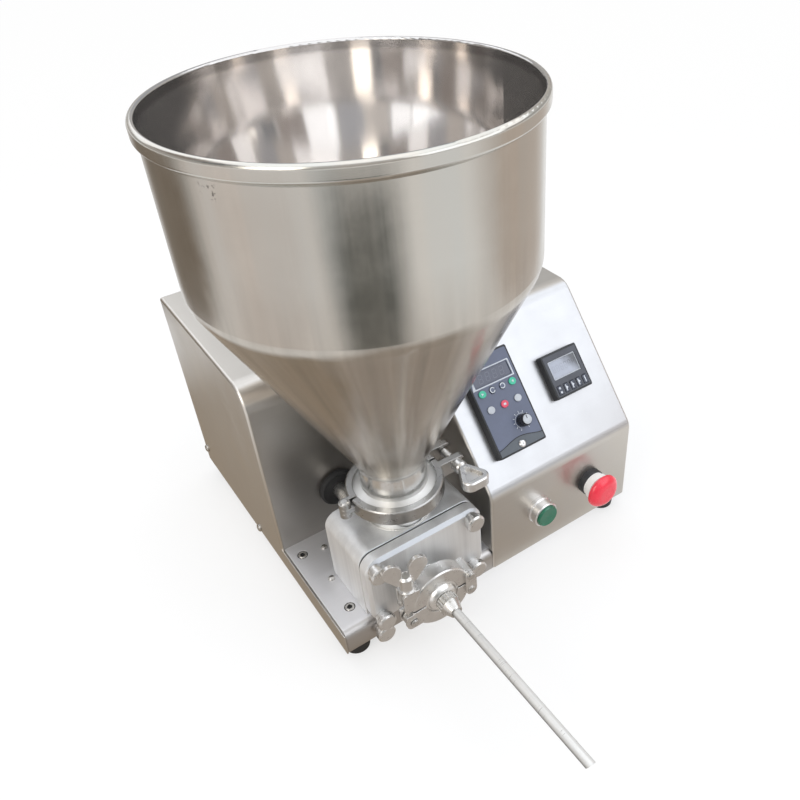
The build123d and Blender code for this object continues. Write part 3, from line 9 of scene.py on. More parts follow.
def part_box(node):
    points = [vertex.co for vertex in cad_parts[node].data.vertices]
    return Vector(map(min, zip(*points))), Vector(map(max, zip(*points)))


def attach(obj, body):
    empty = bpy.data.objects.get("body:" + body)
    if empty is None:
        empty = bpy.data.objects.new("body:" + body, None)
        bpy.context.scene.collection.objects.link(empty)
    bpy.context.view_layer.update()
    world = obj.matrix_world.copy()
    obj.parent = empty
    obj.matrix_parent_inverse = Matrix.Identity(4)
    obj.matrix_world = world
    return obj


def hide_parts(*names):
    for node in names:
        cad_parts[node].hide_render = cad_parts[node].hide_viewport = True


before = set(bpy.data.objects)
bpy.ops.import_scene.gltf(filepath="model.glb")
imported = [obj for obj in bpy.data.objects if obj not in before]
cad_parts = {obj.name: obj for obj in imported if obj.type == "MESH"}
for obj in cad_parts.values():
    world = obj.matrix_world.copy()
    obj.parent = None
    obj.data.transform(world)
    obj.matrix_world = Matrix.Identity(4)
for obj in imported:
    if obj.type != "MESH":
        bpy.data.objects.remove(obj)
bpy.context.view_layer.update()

bl_info = {
    "name": "Cream filling machine",
    "version": (1, 0, 0),
    "blender": (4, 5, 0),
    "location": "View3D > Sidebar > Filler",
    "description": "Finishes and small details of a benchtop cream filling machine",
    "category": "Object",
}

MM = 0.001
BODY = "machine"
RIGHT = Vector((1, 0, 0))
FRONT = Vector((0, -1, 0))


# Sizes and colours


def colour(name, value):
    about = f"Colour of the {name.lower()}"
    return FloatVectorProperty(
        name=name, description=about, subtype="COLOR", size=3, min=0, max=1, default=value
    )


def length(name, description, millimetres):
    return FloatProperty(
        name=name, description=description, subtype="DISTANCE", precision=5,
        default=millimetres * MM,
    )


def angle(name, description, degrees):
    return FloatProperty(
        name=name, description=description, subtype="ANGLE", default=radians(degrees)
    )


class FillerMetals(bpy.types.PropertyGroup):
    sheet: colour("Housing sheet", (0.575, 0.55, 0.515))
    # The slanted panel's cooler tone is a painted reflection of the cool light above it
    panel: colour("Slanted panel", (0.545, 0.55, 0.565))
    base: colour("Folded base", (0.5, 0.485, 0.475))
    # The deck's pale tone is partly painted light from above
    deck: colour("Deck of the base", (0.8, 0.8, 0.82))
    hopper: colour("Hopper wall", (0.57, 0.53, 0.475))
    # The cone's darker brown tone is a painted reflection of the dark parts below the hopper
    cone: colour("Hopper cone", (0.45, 0.41, 0.36))
    # The bowl's pale tone is partly painted light that lifts the dark inside of the hopper
    bowl: colour("Hopper bowl", (0.83, 0.805, 0.785))
    # The neck's pale tone is a painted highlight; its satin finish is in its roughness
    neck: colour("Hopper neck", (0.8, 0.8, 0.79))
    pump: colour("Pump block", (0.88, 0.89, 0.91))
    # The bevels' darker, bluer tone is a painted reflection that tones down their highlight
    bevel: colour("Pump bevels", (0.61, 0.635, 0.67))
    # The inlet clamp's darker tone is painted shade, for the shadow and dark reflections under the
    # hopper
    cast: colour("Inlet clamp", (0.42, 0.415, 0.405))
    bright: colour("Outlet clamp and hand nuts", (0.72, 0.71, 0.695))
    tube: colour("Tube and ferrules", (0.84, 0.84, 0.83))
    screw: colour("Plain screws, pins and bolts", (0.6, 0.59, 0.57))
    collar: colour("Collar of the start button", (0.86, 0.86, 0.87))
    head: colour("Screw of the controller", (0.85, 0.85, 0.86))
    bronze: colour("Bearing bushes", (0.56, 0.35, 0.14))
    grain: length("Grain", "Spacing of the brush lines on the sheet", 0.6)
    edge: length("Edge round", "Radius of the broken edges", 0.7)


class FillerPlastics(bpy.types.PropertyGroup):
    case: colour("Cases of the controls", (0.022, 0.024, 0.028))
    fascia: colour("Controller fascia", (0.095, 0.115, 0.185))
    cover: colour("Fascia cover", (0.09, 0.105, 0.125))
    slate: colour("Counter front", (0.068, 0.074, 0.092))
    print: colour("Print on the fronts", (0.62, 0.66, 0.72))
    green: colour("Green keys", (0.04, 0.5, 0.32))
    red: colour("Red key", (0.72, 0.06, 0.12))
    pale: colour("Pale keys", (0.5, 0.55, 0.63))
    knob: colour("Speed knob", (0.012, 0.014, 0.022))
    start: colour("Start cap", (0.006, 0.125, 0.068))
    stop: colour("Stop head", (0.78, 0.03, 0.06))
    band: colour("Band of the stop button", (0.84, 0.83, 0.82))
    rubber: colour("Rubber feet and seals", (0.016, 0.016, 0.017))
    gasket: colour("Ferrule gaskets", (0.7, 0.69, 0.65))
    gland: colour("Cable gland", (0.02, 0.02, 0.022))
    screen: colour("Controller window", (0.06, 0.07, 0.115))
    segment: colour("Controller digits", (0.085, 0.097, 0.145))
    glass: colour("Counter window", (0.36, 0.39, 0.47))
    paint: colour("Motor enamel", (0.035, 0.045, 0.06))


class FillerDetails(bpy.types.PropertyGroup):
    facets: IntProperty(
        name="Facets", description="Steps round the stop button", min=24, max=256, default=96
    )
    thread_pitch: length("Thread pitch", "Rise of a bolt's thread in one turn", 1.25)
    thread_depth: length("Thread depth", "How far a thread stands off its bolt", 0.28)
    weld: length("Weld", "Radius of a weld bead", 1.3)
    print_height: length("Print height", "Thickness of the print on a front", 0.08)
    tick: length("Tick", "Length of a mark round the speed knob", 2)


class FillerStage(bpy.types.PropertyGroup):
    camera_at: FloatVectorProperty(
        name="Camera", description="Where the camera stands", subtype="TRANSLATION",
        default=(-0.3126, -0.5281, 0.6723),
    )
    azimuth: angle("Azimuth", "Turn of the camera round the machine", -33.5)
    elevation: angle("Elevation", "Height of the camera as an angle", 37.3)
    roll: angle("Roll", "Lean of the camera", -3.1)
    lens: FloatProperty(
        name="Lens", description="Focal length on a 36 mm sensor", unit="CAMERA", default=35.94
    )
    shift: FloatProperty(name="Shift", description="Sideways shift of the frame", default=-0.082)
    floor: colour("Floor", (0.86, 0.86, 0.86))
    floor_size: length("Floor size", "Width of the floor", 60000)
    sky: colour("Light from above", (0.98, 0.99, 1))
    haze: colour("Light from the walls", (0.62, 0.6, 0.57))


# Shader expressions


class Wire:
    """A shader socket that takes part in Python expressions."""

    def __init__(self, tree, socket=None):
        self.tree = tree
        self.socket = socket

    def node(self, kind, sockets=None, out=0, **settings):
        """Adds a shader node with its settings and the values or links of its sockets."""
        made = self.tree.nodes.new(f"ShaderNode{kind}")
        for key, value in settings.items():
            setattr(made, key, value)
        for key, value in (sockets or {}).items():
            if isinstance(value, Wire):
                self.tree.links.new(value.socket, made.inputs[key])
            else:
                made.inputs[key].default_value = value
        return Wire(self.tree, made.outputs[out] if made.outputs else None)

    def math(self, operation, *values):
        return self.node("Math", dict(enumerate(values)), operation=operation)

    def vector(self, operation, *values, out=0):
        return self.node("VectorMath", dict(enumerate(values)), out, operation=operation)

    def __add__(self, other):
        return self.math("ADD", self, other)

    __radd__ = __add__

    def __sub__(self, other):
        return self.math("SUBTRACT", self, other)

    def __rsub__(self, other):
        return self.math("SUBTRACT", other, self)

    def __mul__(self, other):
        return self.math("MULTIPLY", self, other)

    __rmul__ = __mul__

    def __neg__(self):
        return self * -1

    def __abs__(self):
        return self.math("ABSOLUTE", self)

    def clipped(self):
        return self.node("Clamp", {"Value": self})

    def normal(self):
        """The way the surface faces."""
        return self.node("NewGeometry", out="Normal")

    def axes(self, letters="XYZ"):
        """Some of a vector's axes, each as a value."""
        return [self.node("SeparateXYZ", {0: self}, axis) for axis in letters]

    def noise(self, scale, detail, roughness):
        """Noise about 0.5 at this vector; the scale is one number, or one for each axis."""
        scales = scale if isinstance(scale, tuple) else (scale, scale, scale)
        sockets = {"Vector": self.vector("MULTIPLY", self, scales), "Scale": 1}
        return self.node("TexNoise", {**sockets, "Detail": detail, "Roughness": roughness})

    def swing(self, amount):
        """This noise about zero, and so many times as wide."""
        return (self - 0.5) * amount

    def between(self, low, high):
        """This value stretched so that low becomes 0 and high becomes 1."""
        return self.node("MapRange", {"Value": self, "From Min": low, "From Max": high})

    def tint(self, first, second):
        """A colour between two, with this value as the share of the second."""
        pair = [c if isinstance(c, Wire) else (*c, 1) for c in (first, second)]
        return self.node("Mix", {0: self, 6: pair[0], 7: pair[1]}, 2, data_type="RGBA")

    def tone(self, base, dark, light):
        """A colour between a darker and a lighter shade of a base."""
        return self.tint(shaded(base, dark), shaded(base, light))


def shaded(base, gain):
    """A colour made darker or lighter."""
    return tuple(min(1, c * gain) for c in base)


def cleared(block):
    """The emptied node tree of a material or a world."""
    block.use_nodes = True
    block.node_tree.nodes.clear()
    return Wire(block.node_tree)


FINISHES = {}


def begin(name):
    """A new finish: its empty tree and the place on the surface."""
    FINISHES[name] = bpy.data.materials.new(name)
    wire = cleared(FINISHES[name])
    return wire, wire.node("TexCoord", out="Object")


def surface(wire, **sockets):
    """Ends a finish in a principled shader; the words of a socket's name are joined by _."""
    shader = wire.node("BsdfPrincipled", {k.replace("_", " "): v for k, v in sockets.items()})
    wire.node("OutputMaterial", {"Surface": shader})


def round_edges(wire, radius):
    """Normals of edges that are broken by a small radius, and a mask of those edges."""
    soft = wire.node("Bevel", {"Radius": radius}, samples=8)
    along = wire.vector("DOT_PRODUCT", soft, wire.normal(), out="Value")
    return soft, ((1 - along) * 6).clipped()


def relief(height, depth, **normal):
    """Bump of a depth in millimetres from a height between 0 and 1."""
    sockets = {"Height": height, "Strength": 1, "Distance": depth * MM}
    return height.node("Bump", {**sockets, **normal})


# Metal finishes

# Heights in metres over which one part of the hopper passes into the next
FLANGE_TOP = (0.164, 0.168)
NECK_TOP = (0.186, 0.196)
CONE_TOP = (0.375, 0.445)
# The inner lip above this height gets painted shade
LIP_SHADE_FOOT = (0.509, 0.512)
# The scuffed patch under the rim: its lower and upper edge, and in radians its turn, half its
# width and the width over which its ends fade
SCUFF_FOOT, SCUFF_TOP = (0.492, 0.496), (0.501, 0.504)
SCUFF_TURN, SCUFF_HALF, SCUFF_FADE = -1.11, 0.07, 0.04
# Depth in metres at which the drive wall begins behind the control box; there the sheet gets a
# painted highlight on its slanted top bend and painted shade on its front
DRIVE_WALL = (0.045, 0.055)


def brushed_sheet(name, base, top, slope, spacing, edge, rough, top_rough):
    """Folded sheet: brush lines along it, cloudy handling marks, worn edges, and painted light: a
    painted highlight along its upright bends and the drive wall's top bend, painted shade on the
    drive wall, a paler top tone and a cooler slant tone.
    """
    wire, place = begin(name)
    upright = place.noise((18, 18, 1 / spacing), 3, 0.6)
    level = place.noise((18, 1 / spacing, 18), 3, 0.6)
    cloud = place.noise(9, 4, 0.55)
    smear = place.noise((30, 30, 11), 3, 0.6)
    soft, worn = round_edges(wire, edge)
    side, back, up = wire.normal().axes()
    side, front = abs(side), -back
    slant = up.between(0.25, 0.45) * front.between(0.3, 0.5)
    # Upright bends of the sheet, the mask of a painted highlight
    fold_highlight = side.between(0.2, 0.5) * (1 - side.between(0.8, 0.97))
    on_top = abs(up).between(0.8, 0.95)
    behind = place.axes("Y")[0].between(*DRIVE_WALL)
    lines = upright * (1 - on_top) + level * on_top
    shade = lines.swing(0.5) + cloud.swing(0.35) + 0.5
    warm = (base[0], base[1] * 0.965, base[2] * 0.9)
    metal = (cloud.between(0.5, 0.72) * 0.5).tint(shade.tone(base, 0.86, 1.12), warm)
    # Top faces take the top tone; on the folded base it is far paler than the sides, painted light
    # from above beside the deck's rougher satin
    metal = on_top.tint(metal, shade.tone(top, 0.88, 1.1))
    # Slanted faces take a cooler tone, a painted reflection of the cool light above them
    metal = slant.tint(metal, shade.tone(slope, 0.9, 1.1))
    # Painted highlight on the slanted top bend of the drive wall
    metal = (slant * behind).tint(metal, shaded(base, 1.45))
    # Painted shade on the front of the drive wall, for its dark reflection of the hopper cone
    metal = (behind * front.between(0.9, 0.98)).tint(metal, shade.tone(base, 0.6, 0.78))
    # Painted highlight along the upright bends
    metal = (fold_highlight * 0.6).tint(metal, shaded(base, 1.3))
    surface(
        wire,
        Base_Color=(worn * 0.5).tint(metal, shaded(base, 1.25)),
        Metallic=1,
        Roughness=rough + on_top * (top_rough - rough) + lines.swing(0.22) + smear.swing(0.16),
        Normal=relief(lines, 0.03, Normal=soft),
    )


def spun_steel(name, base, cone, bowl, neck, axis):
    """Hopper: a spun wall with rings and streaks, a mirror-polished bowl and a satin neck, with
    painted light: a darker cone tone as a painted reflection, paler neck and bowl tones, partly
    painted light, and painted shade on the inner lip.
    """
    wire, place = begin(name)
    centred = wire.vector("SUBTRACT", place, (axis.x, axis.y, 0))
    x, y, height = centred.axes()
    turn = wire.math("ARCTAN2", x, -y)
    unrolled = wire.node("CombineXYZ", {0: turn, 1: height, 2: 0})
    radial = wire.vector("NORMALIZE", wire.vector("MULTIPLY", centred, (1, 1, 0)))
    outward = wire.vector("DOT_PRODUCT", wire.normal(), radial, out="Value")
    inside = 1 - outward.between(-0.2, 0.2)
    low = 1 - height.between(*NECK_TOP)
    flange = 1 - height.between(*FLANGE_TOP)
    under = 1 - height.between(*CONE_TOP)
    rings = unrolled.noise((1.5, 1500, 1), 2, 0.6)
    streaks = unrolled.noise((46, 2.4, 1), 3, 0.65)
    broad = unrolled.noise((3.5, 1.4, 1), 2, 0.5)
    rubs = unrolled.noise((5, 34, 1), 4, 0.65)
    bands = unrolled.noise((11, 3, 1), 3, 0.55)
    specks = unrolled.noise((40, 260, 1), 2, 0.5).between(0.55, 0.62)
    shade = rings.swing(0.25) + streaks.swing(0.45) + broad.swing(0.5) + rubs.swing(0.7) + 0.5
    cool = (base[0] * 0.93, base[1] * 0.98, base[2] * 1.02)
    outer = (broad.between(0.42, 0.6) * 0.7).tint(cool, shade.tone(base, 0.86, 1.1))
    # The cone takes a darker brown tone, a painted reflection of the dark parts below the hopper
    outer = under.tint(outer, bands.between(0.3, 0.75).tone(cone, 0.86, 1.2))
    # The inner skin is paler than the outer wall, partly painted light that lifts the dark inside
    inner = (streaks * 0.6).tint(bowl, shaded(bowl, 0.9))
    # The neck takes a pale tone, a painted highlight
    skin = low.tint(inside.tint(outer, inner), neck)
    # Painted shade on the inner lip of the rim
    skin = (height.between(*LIP_SHADE_FOOT) * inside).tint(skin, shaded(bowl, 0.66))
    scuffed = height.between(*SCUFF_FOOT) * (1 - height.between(*SCUFF_TOP))
    for off in (turn - SCUFF_TURN, SCUFF_TURN - turn):
        scuffed = scuffed * off.between(-SCUFF_HALF, SCUFF_FADE - SCUFF_HALF)
    skin = (specks * scuffed * (1 - inside) * 0.75).tint(skin, shaded(base, 0.22))
    rough = 0.2 - inside * 0.11 + flange * 0.28
    surface(
        wire,
        Base_Color=skin,
        Metallic=1 - inside * 0.045,
        Roughness=rough + streaks.swing(0.08) + rubs.swing(0.2) * (1 - inside),
        Normal=relief(rings, 0.004),
        Anisotropic=0.6,
        Anisotropic_Rotation=0.25,
    )


def milled_steel(name, base, bevelled, edge, rough):
    """Milled block: close cutter lines down its faces, bright broken edges, and a darker, bluer
    painted reflection on its up-facing chamfers.
    """
    wire, place = begin(name)
    cutter = place.noise((900, 900, 7), 2, 0.6)
    passes = place.noise((110, 110, 2), 3, 0.55)
    cloud = place.noise(22, 3, 0.5)
    soft, worn = round_edges(wire, edge)
    shade = cutter.swing(0.3) + passes.swing(0.8) + cloud.swing(0.3) + 0.5
    back, up = wire.normal().axes("YZ")
    # Up-facing chamfers: the mask of a darker, bluer painted reflection
    bevel = up.between(0.3, 0.55) * (-back).between(0.2, 0.5)
    metal = bevel.tint(shade.tone(base, 0.76, 1.12), shade.tone(bevelled, 0.9, 1.08))
    surface(
        wire,
        Base_Color=(worn * 0.2).tint(metal, shaded(base, 1.1)),
        Metallic=1,
        Roughness=rough + passes.swing(0.12) + cloud.swing(0.1),
        Normal=relief(cutter * 0.4 + passes * 0.6, 0.01, Normal=soft),
    )


def cast_metal(name, base, edge, rough):
    """Tumbled casting: a faint orange-peel skin, and polished edges."""
    wire, place = begin(name)
    skin = place.noise(900, 3, 0.55)
    lumps = place.noise(160, 3, 0.5)
    soft, worn = round_edges(wire, edge)
    metal = (skin.swing(0.4) + lumps.swing(0.6) + 0.5).tone(base, 0.78, 1.15)
    surface(
        wire,
        Base_Color=(worn * 0.7).tint(metal, shaded(base, 1.45)),
        Metallic=1,
        Roughness=rough + lumps.swing(0.2) - worn * 0.08,
        Normal=relief(skin * 0.5 + lumps * 0.5, 0.06, Normal=soft),
    )


def turned_metal(name, base, axis, edge, rough, cut=0.02, metallic=1, flank_shade=1):
    """Lathe-turned metal: fine rings along one axis, a little handling, maybe painted shade on its
    lower sides.
    """
    wire, place = begin(name)
    rings = place.noise(tuple(1700 if letter == axis else 3 for letter in "XYZ"), 2, 0.6)
    marks = place.noise(60, 4, 0.6)
    soft, worn = round_edges(wire, edge)
    metal = (rings.swing(0.4) + marks.swing(0.3) + 0.5).tone(base, 0.85, 1.12)
    # Painted shade on the lower sides, darker the more they face down
    if flank_shade < 1:
        up = wire.normal().axes("Z")[0]
        metal = up.between(-0.15, 0.85).tint(shaded(base, flank_shade), metal)
    surface(
        wire,
        Base_Color=(worn * 0.5).tint(metal, shaded(base, 1.3)),
        Metallic=metallic,
        Roughness=rough + rings.swing(0.12) + marks.swing(0.12),
        Normal=relief(rings, cut, Normal=soft),
    )


# Other finishes


def moulded(name, base, rough, grain, coat=0, spread=0.2):
    """Moulded plastic or rubber: a fine eroded grain and slight unevenness."""
    wire, place = begin(name)
    texture = place.noise(2600, 2, 0.6)
    cloud = place.noise(70, 3, 0.55)
    soft, worn = round_edges(wire, 0.4 * MM)
    body = (cloud.swing(0.8) + texture.swing(0.4) + 0.5).tone(base, 1 - spread, 1 + spread)
    pale = tuple(0.75 * c + 0.25 * max(c, 0.12) for c in base)
    surface(
        wire,
        Base_Color=(worn * 0.6).tint(body, shaded(pale, 1.2)),
        Roughness=rough + texture.swing(0.12) + cloud.swing(0.12),
        Normal=relief(texture, grain, Normal=soft),
        Coat_Weight=coat,
        Coat_Roughness=0.12,
    )


def window(name, base, rough, dark_reflection_gain=1):
    """Display window: clear gloss with faint cloth marks, and a far corner that may be dimmer: a
    painted dark reflection.
    """
    wire, place = begin(name)
    smear = place.noise((140, 60, 90), 4, 0.6)
    cells = place.noise(3200, 1, 0.5)
    shade = smear.swing(0.5) + cells.swing(0.3) + 0.5
    u, v = wire.node("TexCoord", out="Generated").axes("XZ")
    # The far corner gets a painted dark reflection
    corner = (u * 0.9 + v * 0.4 + smear.swing(0.3)).between(0.75, 1.1)
    surface(
        wire,
        Base_Color=corner.tint(shade.tone(base, 0.85, 1.18), shaded(base, dark_reflection_gain)),
        Roughness=rough + smear.swing(0.15),
        Coat_Weight=0.6,
        Coat_Roughness=0.05,
    )


def enamel(name, base):
    """Sprayed motor enamel: orange peel and dust."""
    wire, place = begin(name)
    peel = place.noise(420, 2, 0.5)
    dust = place.noise(45, 4, 0.6)
    soft, worn = round_edges(wire, 0.8 * MM)
    body = (dust.between(0.45, 0.75) * 0.3).tint(base, (0.2, 0.19, 0.18))
    surface(
        wire,
        Base_Color=(worn * 0.5).tint(body, shaded(base, 2.2)),
        Roughness=0.4 + dust.swing(0.3),
        Normal=relief(peel, 0.06, Normal=soft),
    )


# Tones that are a darker shade of another
SHADES = (
    ("satin", "tube", 0.89),
    ("weld", "tube", 0.8),
    ("cap", "print", 0.8),
    ("dark", "fascia", 0.45),
    ("faint", "glass", 0.88),
)
# Name, tone, axis of the rings, share of the edge round, roughness
TURNED = (
    ("turned_tube", "tube", "Y", 0.6, 0.28),
    ("turned_ferrule", "tube", "Z", 0.6, 0.22),
    ("weld_bead", "weld", "Z", 0.3, 0.34),
    ("plain_screw", "screw", "Y", 0.5, 0.28),
    ("bright_screw", "head", "Z", 0.4, 0.3),
    ("bright_collar", "collar", "Y", 0.6, 0.3),
    ("bearing_metal", "bronze", "Y", 0.5, 0.3),
)
# Name, tone, roughness, depth of the grain, and maybe the coat and the spread of the tone
MOULDED = (
    ("black_rubber", "rubber", 0.72, 0.08),
    ("pale_seal", "gasket", 0.5, 0.03),
    ("gland_moulding", "gland", 0.5, 0.06),
    ("case_moulding", "case", 0.46, 0.06),
    ("printed_fascia", "fascia", 0.36, 0.02, 0.25),
    ("fascia_cover", "cover", 0.42, 0.04),
    ("counter_front", "slate", 0.46, 0.03, 0.05, 0.35),
    ("pale_print", "print", 0.45, 0.01),
    ("green_key", "green", 0.34, 0.02, 0.2),
    ("red_key", "red", 0.34, 0.02, 0.2),
    ("pale_key", "pale", 0.36, 0.02, 0.2),
    ("dark_key", "dark", 0.4, 0.02, 0.2),
    ("pale_cap", "cap", 0.3, 0.02, 0.2),
    ("knob_moulding", "knob", 0.4, 0.04),
    ("start_moulding", "start", 0.24, 0.02, 0.5),
    ("stop_moulding", "stop", 0.26, 0.02, 0.4, 0.12),
    ("pale_band", "band", 0.35, 0.03),
)
# Name, tone, roughness, and maybe the share of light in the far corner, which holds a painted dark
# reflection
WINDOWS = (
    ("controller_window", "screen", 0.2),
    ("dim_segment", "segment", 0.3),
    ("counter_window", "glass", 0.22, 0.2),
    ("faint_segment", "faint", 0.25, 0.2),
)


def mix_finishes(scene):
    """Makes every finish from the sizes and colours in the property groups."""
    tones = {}
    for group in (scene.filler_metals, scene.filler_plastics):
        for item in group.bl_rna.properties:
            if item.subtype == "COLOR":
                tones[item.identifier] = tuple(getattr(group, item.identifier))
    for name, source, gain in SHADES:
        tones[name] = shaded(tones[source], gain)
    grain, edge = scene.filler_metals.grain, scene.filler_metals.edge
    sheet, base = tones["sheet"], tones["base"]
    brushed_sheet(
        "brushed_sheet", sheet, sheet, tones["panel"], grain, 1.4 * edge, rough=0.36, top_rough=0.36
    )
    brushed_sheet("folded_base", base, tones["deck"], base, grain, edge, rough=0.36, top_rough=0.58)
    parts = [tones[key] for key in ("hopper", "cone", "bowl", "neck")]
    spun_steel("spun_hopper", *parts, middle("hopper"))
    milled_steel("milled_block", tones["pump"], tones["bevel"], edge, rough=0.58)
    # The inlet clamp's darker tone is painted shade
    cast_metal("tumbled_casting", tones["cast"], edge, rough=0.3)
    cast_metal("polished_casting", tones["bright"], edge, rough=0.3)
    # The nozzle's lower sides get painted shade
    turned_metal(
        "satin_nozzle", tones["satin"], "Y", 0.6 * edge,
        rough=0.3, cut=0.003, metallic=0.4, flank_shade=0.12,
    )
    for name, key, axis, broken, rough in TURNED:
        turned_metal(name, tones[key], axis, broken * edge, rough)
    for name, key, *look in MOULDED:
        moulded(name, tones[key], *look)
    for name, key, *look in WINDOWS:
        window(name, tones[key], *look)
    enamel("motor_enamel", tones["paint"])


def dress(finish, *nodes):
    """Gives CAD nodes one of the finishes."""
    for name in nodes:
        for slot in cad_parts[name].material_slots:
            slot.material = FINISHES[finish]


# Outlines, in millimetres

CORNER_STEPS = 6


def circle(r, steps, x=0, y=0):
    return [(x + r * cos(tau * i / steps), y + r * sin(tau * i / steps)) for i in range(steps)]


def arc(r, start, end, steps, x=0, y=0):
    """Points along a part of a circle; angles from the local X axis."""
    turns = [start + (end - start) * i / steps for i in range(steps + 1)]
    return [(x + r * cos(a), y + r * sin(a)) for a in turns]


def arc_band(r0, r1, start, end, steps):
    """Outline of a part of a flat ring."""
    return arc(r1, start, end, steps) + arc(r0, end, start, steps)


def strip(half, low, high):
    """Outline of an upright strip, by half its width."""
    return [(-half, low), (half, low), (half, high), (-half, high)]


def rounded_box(half, low, high, r):
    """Outline of a strip with round corners."""
    points, x = [], half - r
    for quarter, at in enumerate(((x, high - r), (-x, high - r), (-x, low + r), (x, low + r))):
        points += arc(r, quarter * pi / 2, (quarter + 1) * pi / 2, CORNER_STEPS, *at)
    return points


def moved(outline, x, y, turn=0):
    """An outline turned about its origin and then shifted."""
    c, k = cos(turn), sin(turn)
    return [(x + u * c - v * k, y + u * k + v * c) for u, v in outline]


def seven_bars(width, height, thick):
    """Outlines of the seven bars of a display digit, centred on the origin."""
    t, gap = thick / 2, 0.12 * thick
    w, h = width / 2 - t, height / 2 - t
    spots = [(0, y, w, 0) for y in (h, 0, -h)]
    spots += [(x, y, h / 2, pi / 2) for x in (-w, w) for y in (-h / 2, h / 2)]
    bars = []
    for x, y, half, turn in spots:
        tip = half - gap
        flat = tip - t
        bar = [(-tip, 0), (-flat, t), (flat, t), (tip, 0), (flat, -t), (-flat, -t)]
        bars.append(moved(bar, x, y, turn))
    return bars


# Places on the machine


def shift(x, y, z=0):
    """A placement so many millimetres off."""
    return Matrix.Translation(MM * Vector((x, y, z)))


def stand(turn, tilt=pi / 2):
    """A placement tilted up about X and then turned about Z."""
    return Matrix.Rotation(turn, 4, "Z") @ Matrix.Rotation(tilt, 4, "X")


def looking(origin, across, out):
    """A placement whose X runs across and whose Z points out."""
    x, z = Vector(across), Vector(out)
    turn = Matrix((x, z.cross(x), z)).transposed().to_4x4()
    return Matrix.Translation(Vector(origin)) @ turn


def middle(node):
    low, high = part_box(node)
    return (low + high) / 2


HOOD_LOW, HOOD_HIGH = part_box("hood")
PANEL_RUN, PANEL_FOOT = 112 * MM, 120 * MM
PANEL_UP = Vector((0, PANEL_RUN, HOOD_HIGH.z - PANEL_FOOT)).normalized()
PANEL_OUT = RIGHT.cross(PANEL_UP)
PANEL_CORNER = Vector((HOOD_HIGH.x, HOOD_LOW.y + PANEL_RUN, HOOD_HIGH.z))


def on_panel(u, v):
    """A placement on the sloped panel, so many millimetres from its top right corner."""
    return looking(PANEL_CORNER + u * MM * RIGHT + v * MM * PANEL_UP, RIGHT, PANEL_OUT)


def ink(level):
    """The two heights of a print on a level."""
    return level, level + bpy.context.scene.filler_details.print_height / MM


# Shapes


